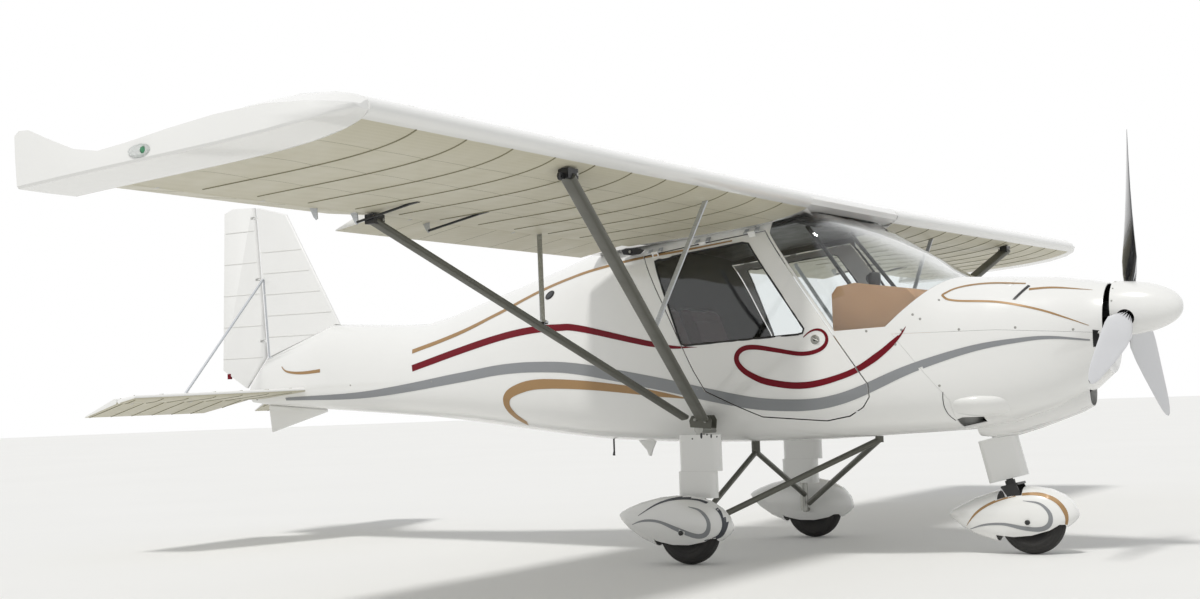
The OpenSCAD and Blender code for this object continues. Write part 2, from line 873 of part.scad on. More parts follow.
elevator_te = [-(elevator_chord - 3), 0];
torque_r = 10;
module elevators() {
  color(white)
    translate(elevator_hinge)
      rotate([0, -elevator_rest, 0]) {
        pair() {
          difference() {
            hull() {
              rod([0, 130, 0], [0, tail_half, 0], elevator_nose);
              rod([elevator_te[0], 250, 0], [elevator_te[0], tail_half - 15, 0], 3);
            }
            for (y = stab_hinge_y)
              translate([0, y, 0])
                rotate([-90, 0, 0])
                  lug_room(0, elevator_nose);
          }
          for (y = stab_hinge_y)
            translate([0, y, 0])
              rotate([-90, 0, 0])
                lug_pin(0);
        }
        rod([0, -140, 0], [0, 140, 0], torque_r);
      }
}

brace_top = [-2735, 22, 1722];
brace_foot = [-2740, 770, 976];
module tail_braces() {
  color("silver")
    pair()
      difference() {
        union() {
          rod(brace_top, brace_foot, 8);
          translate(brace_foot + [0, 0, -13])
            cylinder(r = 11, h = 22, $fn = 24);
        }
        stab_panel(fit);
      }
}

module ventral_fin() {
  color(white)
    hull() {
      rod([-2245, 0, 845.4], [-2720, 0, 884.6], 10);
      rod([-2700, 0, 716], [-2722, 0, 880], 6);
    }
}

// ========================================================= wing fittings
front_foot = strut_foot + 0.035 * (front_top - strut_foot) + [12, 0, 0];
rear_foot = strut_foot + 0.045 * (rear_top - strut_foot) + [-38, 0, 0];
module front_strut(extra = 0) {
  bar(front_foot, front_top, front_strut_c + extra, 32 + extra);
}
module rear_strut(extra = 0) {
  bar(rear_foot, rear_top, rear_strut_c + extra, 26 + extra);
}

module wing_struts() {
  color(grey)
    pair() {
      front_strut();
      rear_strut();
      difference() {
        bar(front_jury[0], front_jury[1], 26, 10);
        front_strut(2 * fit);
        wing_block();
      }
      difference() {
        bar(rear_jury[0], rear_jury[1], 28, 8);
        rear_strut(2 * fit);
        wing_block();
      }
    }
}

tie_r = 6;          // eye for a tie-down rope under each strut top
tie_t = 10;
tie_out = 52;
module strut_fittings() {
  color(black)
    pair() {
      difference() {
        for (top = [front_top, rear_top])
          translate(top + [-24, -50, -14])
            cube([48, 78, fitting_drop + 8]);
        front_strut(2 * fit);
        rear_strut(2 * fit);
        wing_block();
      }
      translate(front_top + [0, tie_out, -8])
        difference() {
          union() {
            rotate([0, 90, 0])
              cylinder(r = 16, h = tie_t, center = true, $fn = 48);
            translate([-tie_t / 2, -30, -10])
              cube([tie_t, 30, 26]);
          }
          rotate([0, 90, 0])
            cylinder(r = tie_r, h = 2 * tie_t, center = true, $fn = 48);
        }
    }
}

// Space taken by the front part of one wing, grown by the seating gap
module wing_block() {
  translate([0, 0, -fit])
    wing_frame(1)
      spanwise(0, seam_y - root_y)
        polygon(foil(rear_face / chord));
}

// ========================================================= undercarriage
leg_y = 655;
leg_r = 22;
wheel_z = tyre_r;
main_axle_out = track_half + 103;
module main_legs() {
  color("silver") {
    rod([beam[0], -leg_y - 20, beam[2]], [beam[0], leg_y + 20, beam[2]], beam_r);
    pair() {
      rod([beam[0], leg_y, beam[2]], [main_axle_x, leg_y, wheel_z], leg_r);
      rod([main_axle_x, leg_y, wheel_z], [main_axle_x, main_axle_out, wheel_z], axle_r);
    }
  }
}

// Upper and lower sleeve of each leg: chord, thickness, place, lowest and highest point
sleeve_table = [[238, 74, 780, 470, 660], [222, 66, 760, 330, 469.5]];
module leg_sleeves() {
  color(white)
    pair()
      difference() {
        for (r = sleeve_table)
          translate([r[2], leg_y, r[3]])
            linear_extrude(r[4] - r[3])
              streamline(r[0], r[1]);
        rod([beam[0], leg_y, beam[2]], [main_axle_x, leg_y, wheel_z], leg_r + fit);
      }
}

apex = [787, 0, 540];
strut_end = [790, 628, 262];
drag_end = [818, 628, 212];
drag_front = [1516, 0, 595];
module gear_struts() {
  color("#3A3D3A") {
    pair() {
      rod(apex, strut_end, 15);
      rod(drag_front, drag_end, 16);
    }
    translate(apex + [0, 0, -14])
      cylinder(r = 24, h = belly_z - apex[2] + 13, $fn = 32);
    translate(drag_front + [0, 0, -14])
      cylinder(r = 22, h = 32.6, $fn = 32);
  }
}

// Wheel fairing as rings: share of its length, half width, lowest and highest point
pant_table = [
  [0.00,   4,  -4,   4], [0.03,  24, -28,  22], [0.10,  46, -66,  48], [0.22,  70, -108,  84],
  [0.38,  88, -140, 118], [0.52,  96, -142, 136], [0.66,  98, -130, 142], [0.80,  90, -104, 128],
  [0.90,  72, -72,  98], [0.96,  50, -42,  62], [0.99,  26, -20,  28], [1.00,   8,  -6,   8]
];
pant_n = 28;
pant_skin = 4;
function pant_ring(r, len_x, lift, inset) = [
  for (k = [0 : pant_n - 1])
    let (a = 360 * k / pant_n, up = sin(a) >= 0)
    [r[0] * len_x, max(r[1] - inset, 1) * pow_sign(cos(a), 0.88),
     lerp(lift, 0, r[0]) + max((up ? r[3] : -r[2]) - inset, 1) * pow_sign(sin(a), 0.88)]
];
module pant_body(len_x, lift, inset) {
  first = inset > 0 ? 1 : 0;
  for (i = [first : len(pant_table) - 2 - first])
    ring_hull(pant_ring(pant_table[i], len_x, lift, inset), pant_ring(pant_table[i + 1], len_x, lift, inset));
}

// Hollow wheel fairing with a slot for the tyre, its nose at the origin of its X axis
module pant(len_x, lift, axle_at, axle_z) {
  difference() {
    pant_body(len_x, lift, 0);
    pant_body(len_x, lift, pant_skin);
    translate([axle_at - tyre_r - 9, -tyre_w / 2 - 14, -400])
      cube([2 * tyre_r + 18, tyre_w + 28, 400 - 50]);
    children();
  }
}

main_pant_x = [362, 1022];
main_pant_z = 188;
module main_pants() {
  color(white)
    pair()
      translate([main_pant_x[0], track_half + 2, main_pant_z])
        pant(main_pant_x[1] - main_pant_x[0], 62, main_axle_x - main_pant_x[0], 0) {
          translate([main_axle_x - main_pant_x[0], -300, wheel_z - main_pant_z])
            rotate([-90, 0, 0])
              cylinder(r = axle_r + fit, h = 600, $fn = 32);
        }
}

// Tyre and rim round their own axle, which lies across the aircraft
rim_r = 62;
module tyre(c) {
  h = tyre_w / 2;
  color(black)
    translate(c)
      rotate([90, 0, 0])
        rotate_extrude($fn = 72)
          polygon(concat(
            [[rim_r + fit, -h * 0.62], [rim_r + fit, h * 0.62]],
            [for (k = [0 : 16])
              let (a = 105 - 210 * k / 16)
              [tyre_r - h + 1 + (h - 1) * cos(a * 0.86), h * pow_sign(sin(a * 0.86), 0.85)]]
          ));
}

module rim(c) {
  h = tyre_w * 0.31;
  color("silver")
    translate(c)
      rotate([90, 0, 0])
        difference() {
          rotate_extrude($fn = 64)
            polygon([
              [axle_r + 9, -h - 6], [axle_r + 9, h + 6], [axle_r + 20, h + 6], [axle_r + 24, 10], [rim_r - 14, 10],
              [rim_r - 6, h], [rim_r, h], [rim_r, -h], [rim_r - 6, -h], [rim_r - 14, -10],
              [axle_r + 24, -10], [axle_r + 20, -h - 6]
            ]);
          for (k = [0 : 5])
            rotate([0, 0, 60 * k])
              translate([(axle_r + rim_r + 10) / 2, 0, -20])
                cylinder(r = 5, h = 40, $fn = 24);
        }
  color("silver")
    translate(c)
      rotate([90, 0, 0])
        difference() {
          cylinder(r = axle_r + 9 + eps, h = 2 * h + 12, center = true, $fn = 48);
          cylinder(r = axle_r + fit, h = 4 * h, center = true, $fn = 48);
        }
}

main_c = [main_axle_x, track_half, wheel_z];
nose_c = [nose_axle_x, 0, wheel_z];
stem_r = 18;
leg_chord = 212;
leg_thick = 70;

// Frame of the raked nose leg: its Z axis points up the leg from the fork crown
module leg_frame() {
  translate(leg_low)
    rotate([0, atan2(-leg_dir[0], -leg_dir[2]), 0])
      children();
}

module nose_leg() {
  color(white)
    leg_frame()
      difference() {
        union() {
          translate([0, 0, 26])
            linear_extrude(222)
              streamline(leg_chord, leg_thick);
          translate([0, 0, 240])
            cylinder(r = stem_r + 10, h = 210, $fn = 48);
        }
        translate([0, 0, -10])
          cylinder(r = stem_r + fit, h = 300, $fn = 48);
      }
}

fork_half = tyre_w / 2 + 12;
fork_t = 8;
fork_out = 101;     // ends of the hollow axle, just outside the fairing
tow_r = 6;          // tow bar socket, the bore of the nose axle
module nose_fork() {
  color("dimgray") {
    leg_frame() {
      translate([0, 0, -6])
        cylinder(r = stem_r, h = 240, $fn = 48);
      translate([0, 0, -10])
        cylinder(r = stem_r + 8, h = 30, $fn = 48);
      translate([-34, -fork_half - fork_t - 1, -14])
        cube([90, 2 * (fork_half + fork_t + 1), 12]);
    }
    difference() {
      union() {
        pair()
          rotate([90, 0, 0])
            translate([0, 0, -fork_half - fork_t])
              linear_extrude(fork_t)
                polygon([
                  [leg_low[0] - 28, leg_low[2] - 20], [leg_low[0] + 50, leg_low[2] - 2],
                  [nose_axle_x + 22, wheel_z], [nose_axle_x + 10, wheel_z - 20],
                  [nose_axle_x - 10, wheel_z - 20], [nose_axle_x - 22, wheel_z]
                ]);
        rod([nose_axle_x, -fork_out, wheel_z], [nose_axle_x, fork_out, wheel_z], axle_r);
      }
      rod([nose_axle_x, -fork_out - 1, wheel_z], [nose_axle_x, fork_out + 1, wheel_z], tow_r);
    }
  }
}

nose_pant_x = [1888, 2562];
nose_pant_z = 204;
module nose_pant() {
  color(white)
    translate([nose_pant_x[0], 0, nose_pant_z])
      pant(nose_pant_x[1] - nose_pant_x[0], 0, nose_axle_x - nose_pant_x[0], 0) {
        translate([leg_low[0] - nose_pant_x[0] - 55, -fork_half - fork_t - 4, 60])
          cube([130, 2 * (fork_half + fork_t + 4), 200]);
        translate([nose_axle_x - nose_pant_x[0], 0, wheel_z - nose_pant_z])
          rotate([90, 0, 0])
            cylinder(r = axle_r + fit, h = 400, center = true, $fn = 32);
      }
}

// ---- drawing
module door_left() { door(1); }
module door_right() { door(-1); }
module door_glass_left() { door_glass(1); }
module door_glass_right() { door_glass(-1); }
module wing_left() { color(white) wing(1); }
module wing_right() { color(white) wing(-1); }
module wing_tips() { color(white) for (s = [1, -1]) wing_tip(s); }
module aileron_left() { color(white) wing_frame(1) wing_surface(aileron_y, aileron_rest); }
module aileron_right() { color(white) wing_frame(-1) wing_surface(aileron_y, aileron_rest); }
module flap_left() { color(white) wing_frame(1) wing_surface(flap_y, -flap_rest); }
module flap_right() { color(white) wing_frame(-1) wing_surface(flap_y, -flap_rest); }
module main_tyre_left() { tyre(main_c); }
module main_rim_left() { rim(main_c); }
module main_tyre_right() { mirror([0, 1, 0]) tyre(main_c); }
module main_rim_right() { mirror([0, 1, 0]) rim(main_c); }
module nose_tyre() { tyre(nose_c); }
module nose_rim() { rim(nose_c); }

fuselage_shell();
roof_fairing();
upper_cowl();
lower_cowl();
firewall();
engine_block();
windscreen();
instrument_panel();
cabin_floor();
seat_cushions();
seat_backs();
door_left();
door_right();
door_glass_left();
door_glass_right();
door_hinges();
spinner();
propeller();
wing_left();
wing_right();
wing_tips();
aileron_left();
aileron_right();
flap_left();
flap_right();
wing_struts();
strut_fittings();
fins();
rudder();
stabilisers();
elevators();
tail_braces();
main_legs();
leg_sleeves();
gear_struts();
main_pants();
main_tyre_left();
main_tyre_right();
main_rim_left();
main_rim_right();
nose_leg();
nose_fork();
nose_pant();
nose_tyre();
nose_rim();
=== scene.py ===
"""High-wing ultralight: finishes, fabric, glazing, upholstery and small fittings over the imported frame."""

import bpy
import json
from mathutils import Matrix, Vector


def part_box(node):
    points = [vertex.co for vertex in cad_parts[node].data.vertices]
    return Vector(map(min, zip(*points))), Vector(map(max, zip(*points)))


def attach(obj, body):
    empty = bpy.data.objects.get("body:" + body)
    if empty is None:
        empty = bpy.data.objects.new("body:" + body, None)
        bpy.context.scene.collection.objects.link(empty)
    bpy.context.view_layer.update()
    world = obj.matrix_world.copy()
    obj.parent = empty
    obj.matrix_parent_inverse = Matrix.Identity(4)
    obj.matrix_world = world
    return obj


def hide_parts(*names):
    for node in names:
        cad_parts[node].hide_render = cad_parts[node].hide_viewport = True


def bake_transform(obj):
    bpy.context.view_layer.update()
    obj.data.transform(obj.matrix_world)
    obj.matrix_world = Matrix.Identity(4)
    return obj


bl_info = {
    "name": "High-Wing Ultralight",
    "version": (1, 0, 0),
    "blender": (4, 5, 0),
    "location": "View3D > Sidebar > Ultralight",
    "description": "Dresses the packed airframe with paint, fabric, glazing, seats and fittings",
    "category": "Object",
}

import json
import math

import bmesh
import bpy
from bpy.props import FloatProperty, FloatVectorProperty, IntProperty, PointerProperty
from mathutils import Matrix, Vector, noise
from mathutils.bvhtree import BVHTree

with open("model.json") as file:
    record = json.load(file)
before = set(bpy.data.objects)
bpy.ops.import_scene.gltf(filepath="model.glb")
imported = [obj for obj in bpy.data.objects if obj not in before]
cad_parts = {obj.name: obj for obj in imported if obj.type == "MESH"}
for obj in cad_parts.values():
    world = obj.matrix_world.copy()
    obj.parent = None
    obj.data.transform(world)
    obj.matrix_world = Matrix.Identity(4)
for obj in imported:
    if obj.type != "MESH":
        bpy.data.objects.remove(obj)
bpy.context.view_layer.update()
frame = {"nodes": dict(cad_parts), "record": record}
NODES = frame["nodes"]
BODY_OF = {n: b for b, group in frame["record"]["behaviour"]["bodies"].items() for n in group}

# ------------------------------------------------------------------ places
# Sections of the fuselage: place, half width, lowest, widest and highest point, exponents up and down
SECTIONS = [
    (-2.86, 0.034, 0.915, 0.99, 1.044, 2.1, 2.1), (-2.72, 0.062, 0.895, 1.02, 1.203, 2.1, 2.2),
    (-2.15, 0.15, 0.848, 1.02, 1.396, 2.1, 2.3), (-1.6, 0.232, 0.805, 1.015, 1.364, 2.1, 2.4),
    (-1.39, 0.262, 0.788, 1.015, 1.362, 2.1, 2.4), (-1.2, 0.292, 0.768, 1.015, 1.4, 2.1, 2.5),
    (-0.96, 0.335, 0.74, 1.02, 1.47, 2.2, 2.6), (-0.66, 0.392, 0.7, 1.03, 1.548, 2.4, 2.8),
    (-0.31, 0.464, 0.656, 1.045, 1.636, 3.0, 3.0), (-0.03, 0.518, 0.628, 1.06, 1.698, 4.2, 3.3),
    (0.343, 0.58, 0.61, 1.08, 1.716, 6.0, 3.7), (0.7, 0.616, 0.602, 1.095, 1.748, 7.0, 4.0),
    (1.0, 0.62, 0.602, 1.1, 1.779, 7.5, 4.0), (1.363, 0.62, 0.608, 1.1, 1.815, 7.5, 4.0),
    (1.54, 0.612, 0.616, 1.1, 1.718, 5.5, 3.9), (1.7, 0.586, 0.624, 1.098, 1.628, 4.2, 3.7),
    (1.85, 0.548, 0.63, 1.094, 1.545, 3.3, 3.5), (2.06, 0.47, 0.64, 1.088, 1.43, 2.6, 3.2),
    (2.3, 0.384, 0.672, 1.085, 1.416, 2.4, 2.9), (2.52, 0.306, 0.742, 1.095, 1.4, 2.3, 2.6),
    (2.68, 0.244, 0.83, 1.11, 1.376, 2.2, 2.4), (2.772, 0.196, 0.906, 1.125, 1.356, 2.1, 2.2),
]
DOOR = [
    (0.43, 1.622), (1.165, 1.702), (1.49, 1.205), (1.69, 0.892), (1.69, 0.83),
    (1.652, 0.78), (1.575, 0.737), (1.45, 0.716), (1.105, 0.745), (0.96, 0.81), (0.8, 0.886), (0.732, 1.0),
]
WINDOW = [
    (0.505, 1.592), (0.53, 1.6), (1.04, 1.652), (1.075, 1.645),
    (1.375, 1.186), (1.368, 1.164), (1.34, 1.158), (0.69, 1.13), (0.662, 1.142),
]
CHORD, ROOT_Y, SEAM_Y = 1.4, 0.602, 4.25
WING_LE = Vector((1.45, 0, 1.846))
INCIDENCE, DIHEDRAL = 7.6, 0.42
REAR_FACE = 0.782
FLAP_AXIS, FLAP_MID, FLAP_NOSE = 1.1318, 0.01908, 0.031
FLAP_SPAN, AILERON_SPAN = (0.632, 2.74), (2.78, 4.235)
HUB = Vector((2.796, 0, 1.224))
ELEVATOR_HINGE = Vector((-2.806, 0, 0.946))
STRUT_FOOT = Vector((0.8, 0.652, 0.709))


def lerp(a, b, t):
    return a + (b - a) * t


def section_at(x):
    x = min(max(x, SECTIONS[0][0]), SECTIONS[-1][0] - 1e-6)
    i = max(k for k in range(len(SECTIONS) - 1) if SECTIONS[k][0] <= x)
    a, b = SECTIONS[i], SECTIONS[i + 1]
    t = (x - a[0]) / (b[0] - a[0])
    return [lerp(p, q, t) for p, q in zip(a, b)]


def body_depth(x, y, z):
    """Zero on the skin of the fuselage, more than zero outside it."""
    _, half, low, mid, top, up, down = section_at(x)
    rise, n = (top - mid, up) if z >= mid else (mid - low, down)
    return (abs(y) / half) ** n + (abs(z - mid) / rise) ** n - 1


def body_normal(p):
    h, e = 0.07, 0.002
    g = Vector((
        (body_depth(p.x + h, p.y, p.z) - body_depth(p.x - h, p.y, p.z)) / (2 * h),
        (body_depth(p.x, p.y + e, p.z) - body_depth(p.x, p.y - e, p.z)) / (2 * e),
        (body_depth(p.x, p.y, p.z + e) - body_depth(p.x, p.y, p.z - e)) / (2 * e),
    ))
    return g.normalized() if g.length > 1e-9 else Vector((0, 0, 1))


def wing_matrix(s):
    """Frame of one wing panel: X forward, Y outboard, Z up, at the root of its leading edge."""
    m = (
        Matrix.Translation((WING_LE.x, ROOT_Y, WING_LE.z))
        @ Matrix.Rotation(math.radians(DIHEDRAL), 4, "X")
        @ Matrix.Rotation(math.radians(-INCIDENCE), 4, "Y")
    )
    return m if s > 0 else Matrix.Scale(-1, 4, (0, 1, 0)) @ m


def foil(s):
    """Upper and lower height of the wing section at a share of the chord."""
    half = 5 * 0.125 * CHORD * (
        0.2969 * math.sqrt(s) - 0.126 * s - 0.3516 * s * s + 0.2843 * s ** 3 - 0.1015 * s ** 4
    )
    mid = 4 * 0.022 * CHORD * s * (1 - s)
    return mid + half, mid - half


# --------------------------------------------------------------- settings
class UltralightPaint(bpy.types.PropertyGroup):
    """Colours of the paint and the trim."""

    gelcoat: FloatVectorProperty(name="Gelcoat", description="White of the moulded parts", subtype="COLOR_GAMMA", default=(0.93, 0.93, 0.92), min=0, max=1)
    wine: FloatVectorProperty(name="Wine Red", description="Upper side stripe and door curl", subtype="COLOR_GAMMA", default=(0.45, 0.02, 0.1), min=0, max=1)
    silver: FloatVectorProperty(name="Silver Grey", description="Long side stripe", subtype="COLOR_GAMMA", default=(0.57, 0.58, 0.59), min=0, max=1)
    bronze: FloatVectorProperty(name="Bronze", description="Thin lines and rear loop", subtype="COLOR_GAMMA", default=(0.655, 0.525, 0.365), min=0, max=1)
    charcoal: FloatVectorProperty(name="Charcoal", description="Dark swirls of the wheel fairings", subtype="COLOR_GAMMA", default=(0.3, 0.31, 0.33), min=0, max=1)


class UltralightSizes(bpy.types.PropertyGroup):
    """Sizes of the covering, the fasteners and the seats."""

    ribs: IntProperty(name="Wing Ribs", description="Ribs under the fabric of each wing panel", default=12, min=6, max=20)
    sag: FloatProperty(name="Fabric Sag", description="Depth that the fabric pulls in between ribs", default=0.005, min=0, max=0.02, unit="LENGTH")
    cord: FloatProperty(name="Rib Line", description="Radius of the raised line over each rib", default=0.0055, min=0.001, max=0.01, unit="LENGTH")
    screw: FloatProperty(name="Screw Head", description="Radius of the cowl screws", default=0.0065, min=0.002, max=0.02, unit="LENGTH")
    puff: FloatProperty(name="Seat Fill", description="Largest swell of a cushion over its foam", default=0.022, min=0, max=0.04, unit="LENGTH")


# -------------------------------------------------------------- materials
def rgb(hex_code):
    """Linear colour from an sRGB hex value."""
    h = hex_code.lstrip("#")
    return from_srgb([int(h[i : i + 2], 16) / 255 for i in (0, 2, 4)])


def from_srgb(c):
    return tuple(v / 12.92 if v <= 0.04045 else ((v + 0.055) / 1.055) ** 2.4 for v in c) + (1.0,)


def add(tree, kind, settings=None, **inputs):
    """Adds a node, sets its settings, and sets or links its inputs by name or by number (as i0, i1)."""
    node = tree.nodes.new(kind)
    for key, value in (settings or {}).items():
        setattr(node, key, value)
    for key, value in inputs.items():
        target = node.inputs[int(key[1:])] if key[0] == "i" and key[1:].isdigit() else node.inputs[key.replace("_", " ")]
        if isinstance(value, bpy.types.NodeSocket):
            tree.links.new(value, target)
        else:
            target.default_value = value
    return node


MATERIALS = {}


def start_material(name):
    m = bpy.data.materials.new(name)
    m.use_nodes = True
    tree = m.node_tree
    tree.nodes.clear()
    MATERIALS[name] = m
    return m, tree, add(tree, "ShaderNodeTexCoord").outputs["Object"]


def finish_material(tree, shader):
    add(tree, "ShaderNodeOutputMaterial", Surface=shader)


def pattern(tree, where, scale, detail=3.0, rough=0.5):
    return add(tree, "ShaderNodeTexNoise", Vector=where, Scale=scale, Detail=detail, Roughness=rough).outputs["Fac"]


def spread(tree, value, low, high, a=0.3, b=0.7):
    """Turns a pattern into a number between low and high."""
    return add(tree, "ShaderNodeMapRange", Value=value, From_Min=a, From_Max=b, To_Min=low, To_Max=high).outputs["Result"]


def two_tone(tree, factor, a, b):
    mix = add(tree, "ShaderNodeMix", {"data_type": "RGBA"})
    tree.links.new(factor, mix.inputs[0])
    mix.inputs[6].default_value, mix.inputs[7].default_value = a, b
    return mix.outputs[2]


def bump(tree, height, distance, strength=1.0):
    return add(tree, "ShaderNodeBump", Height=height, Distance=distance, Strength=strength).outputs["Normal"]


def painted(name, colour, tint=0.04, rough=(0.16, 0.26), coat=0.6, metallic=0.0, wave=0.00025, shine=0.5):
    """Sprayed or moulded paint: a faint change of tone over half a metre, and a long soft wave of 60 mm in the gloss."""
    m, tree, place = start_material(name)
    broad = pattern(tree, place, 2.0, 4)
    shade = tuple(max(c * (1 - 2 * tint), 0) for c in colour[:3]) + (1,)
    add_gloss = spread(tree, pattern(tree, place, 9.0, 5), *rough)
    shader = add(
        tree, "ShaderNodeBsdfPrincipled", Base_Color=two_tone(tree, broad, colour, shade), Roughness=add_gloss,
        Metallic=metallic, Coat_Weight=coat, Coat_Roughness=0.06, Specular_IOR_Level=shine, Normal=bump(tree, pattern(tree, place, 16, 2), wave),
    )
    finish_material(tree, shader.outputs[0])
    return m


def woven(name, colour, dark, thread, rough=0.75, sheen=0.3, depth=0.0003):
    """Woven cloth, threads crossing at the given spacing."""
    m, tree, place = start_material(name)
    rate = 2 * math.pi / thread / 20
    waves = [
        add(tree, "ShaderNodeTexWave", {"bands_direction": d}, Vector=place, Scale=rate, Distortion=0.6, Detail=1.0).outputs["Fac"]
        for d in "XYZ"
    ]
    cross = add(tree, "ShaderNodeMath", {"operation": "MULTIPLY"}, i0=waves[0], i1=waves[1]).outputs[0]
    both = add(tree, "ShaderNodeMath", {"operation": "ADD"}, i0=cross, i1=waves[2]).outputs[0]
    stain = pattern(tree, place, 7.0, 5)
    mixed = add(tree, "ShaderNodeMath", {"operation": "MULTIPLY"}, i0=both, i1=stain).outputs[0]
    shader = add(
        tree, "ShaderNodeBsdfPrincipled", Base_Color=two_tone(tree, spread(tree, mixed, 0, 1, 0.1, 0.9), colour, dark),
        Roughness=spread(tree, stain, rough - 0.08, rough + 0.08), Sheen_Weight=sheen,
        Normal=bump(tree, both, depth, 0.7),
    )
    finish_material(tree, shader.outputs[0])
    return m


def build_materials(paint):
    white = from_srgb(paint.gelcoat)
    # Polyester gelcoat, moulded and polished: deep even gloss with a slow ripple
    painted("white_gelcoat", white, 0.025)
    # Inside of the cabin and cowl: matt dark grey, painted shade that darkens the cabin behind the glass
    painted("cabin_shade_lining", rgb("#232120"), 0.1, (0.6, 0.75), 0.0)
    # Two-pack paint on the underside and wheel parts
    painted("stripe_wine", from_srgb(paint.wine), 0.08, (0.3, 0.4), 0.0, shine=0.2)
    painted("stripe_silver", from_srgb(paint.silver), 0.05, (0.3, 0.4), 0.1, 0.1, shine=0.25)
    painted("stripe_bronze", from_srgb(paint.bronze), 0.07, (0.3, 0.4), 0.1, 0.1, shine=0.25)
    painted("stripe_charcoal", from_srgb(paint.charcoal), 0.07, (0.28, 0.38), 0.1, 0.1, shine=0.25)
    # Painted streamlined tube: dull olive-grey with a soft highlight along it
    painted("olive_grey_tube", rgb("#5B5B52"), 0.08, (0.34, 0.5), 0.15, 0.2)
    painted("propeller_face", rgb("#D9DADD"), 0.04, (0.3, 0.4), 0.2)
    painted("propeller_back", rgb("#101012"), 0.1, (0.12, 0.2), 0.8)
    painted("black_enamel", rgb("#1B1B1C"), 0.15, (0.3, 0.5), 0.1)
    painted("grey_dial", rgb("#2B2D30"), 0.1, (0.4, 0.5), 0.2)
    # Polyester sailcloth, heat shrunk and sealed: satin, a fine weave drawn at 6 mm so that it can be seen
    woven("sailcloth_top", rgb("#EFEFED"), rgb("#ECECEA"), 0.006, 0.42, 0.05, 0.00002)
    # Underside of the same cloth, darker and olive: painted shade with painted bounce light from below
    woven("sailcloth_under_shaded", rgb("#C6C1AC"), rgb("#C1BCA6"), 0.006, 0.45, 0.05, 0.00002)
    # Seat cloth: heavy weave in wine red, drawn at 5 mm
    woven("wine_upholstery", rgb("#552026"), rgb("#331518"), 0.005, 0.85, 0.3, 0.0006)
    rubber()
    aluminium("drawn_aluminium", "#C3C6CA", 0.3)
    aluminium("cast_aluminium", "#9EA1A5", 0.45)
    aluminium("zinc_steel", "#A9A9A4", 0.38)
    acrylic("clear_acrylic", "#F3F6F6", 0.02)
    acrylic("green_lens", "#4FC98A", 0.05)
    acrylic("red_lens", "#E04A40", 0.05)
    leathercloth()
    rib_line()
    painted("cloth_tape", rgb("#E2E2DE"), 0.03, (0.45, 0.6), 0.0)
    engine_paint()


def rubber():
    """Vulcanised rubber: near black, dull, with shallow grooves run round the tread every 14 mm."""
    m, tree, place = start_material("tyre_rubber")
    axis = add(tree, "ShaderNodeSeparateXYZ", Vector=place).outputs["Y"]
    turns = add(tree, "ShaderNodeMath", {"operation": "MULTIPLY"}, i0=axis, i1=2 * math.pi / 0.0145).outputs[0]
    wave = add(tree, "ShaderNodeMath", {"operation": "SINE"}, i0=turns).outputs[0]
    groove = add(tree, "ShaderNodeMapRange", Value=wave, From_Min=-1.0, From_Max=-0.4, To_Min=0.0, To_Max=1.0).outputs["Result"]
    grit = pattern(tree, place, 220, 3)
    high = add(tree, "ShaderNodeMath", {"operation": "MULTIPLY_ADD"}, i0=grit, i1=0.15, i2=groove).outputs[0]
    shader = add(
        tree, "ShaderNodeBsdfPrincipled", Base_Color=two_tone(tree, pattern(tree, place, 14, 5), rgb("#1C1C1D"), rgb("#302E2B")),
        Roughness=spread(tree, grit, 0.68, 0.85), Normal=bump(tree, high, 0.0025, 0.8),
    )
    finish_material(tree, shader.outputs[0])


def aluminium(name, hex_code, rough):
    """Metal with the fine lengthwise lines of drawing or turning, 2 mm apart so that they show."""
    m, tree, place = start_material(name)
    lines = add(tree, "ShaderNodeMapping", Vector=place)
    lines.inputs["Scale"].default_value = (6, 60, 400)
    fine = pattern(tree, lines.outputs[0], 4, 4)
    c = rgb(hex_code)
    dull = tuple(v * 0.8 for v in c[:3]) + (1,)
    shader = add(
        tree, "ShaderNodeBsdfPrincipled", Base_Color=two_tone(tree, fine, c, dull), Metallic=1.0,
        Roughness=spread(tree, fine, rough - 0.08, rough + 0.1), Normal=bump(tree, fine, 0.0002, 0.5),
    )
    finish_material(tree, shader.outputs[0])


def acrylic(name, hex_code, rough):
    """Blown acrylic sheet: clear, a slow ripple of 120 mm in what is seen through it."""
    m, tree, place = start_material(name)
    shader = add(
        tree, "ShaderNodeBsdfPrincipled", Base_Color=rgb(hex_code), Roughness=rough, IOR=1.49, Transmission_Weight=1.0,
        Specular_IOR_Level=0.3,
        Normal=bump(tree, pattern(tree, place, 8, 1), 0.0004, 0.3),
    )
    m.use_screen_refraction = True
    finish_material(tree, shader.outputs[0])


def leathercloth():
    """Tan vinyl over foam: soft sheen, cells of grain about 6 mm wide so that they show."""
    m, tree, place = start_material("tan_leathercloth")
    cells = add(tree, "ShaderNodeTexVoronoi", Vector=place, Scale=160.0).outputs["Distance"]
    shader = add(
        tree, "ShaderNodeBsdfPrincipled",
        Base_Color=two_tone(tree, pattern(tree, place, 5, 4), rgb("#E3B389"), rgb("#D3A074")),
        Roughness=spread(tree, cells, 0.5, 0.65, 0, 1), Sheen_Weight=0.15, Normal=bump(tree, cells, 0.0005, 0.5),
    )
    finish_material(tree, shader.outputs[0])


def rib_line():
    """Tape over a rib, coloured darker and greener than the cloth: painted shade of the rib seen through the fabric
    against the light, fading along its run.
    """
    m, tree, place = start_material("rib_tape")
    shader = add(
        tree, "ShaderNodeBsdfPrincipled",
        Base_Color=two_tone(tree, pattern(tree, place, 12, 3), rgb("#6F6C50"), rgb("#87836A")), Roughness=0.6,
    )
    finish_material(tree, shader.outputs[0])


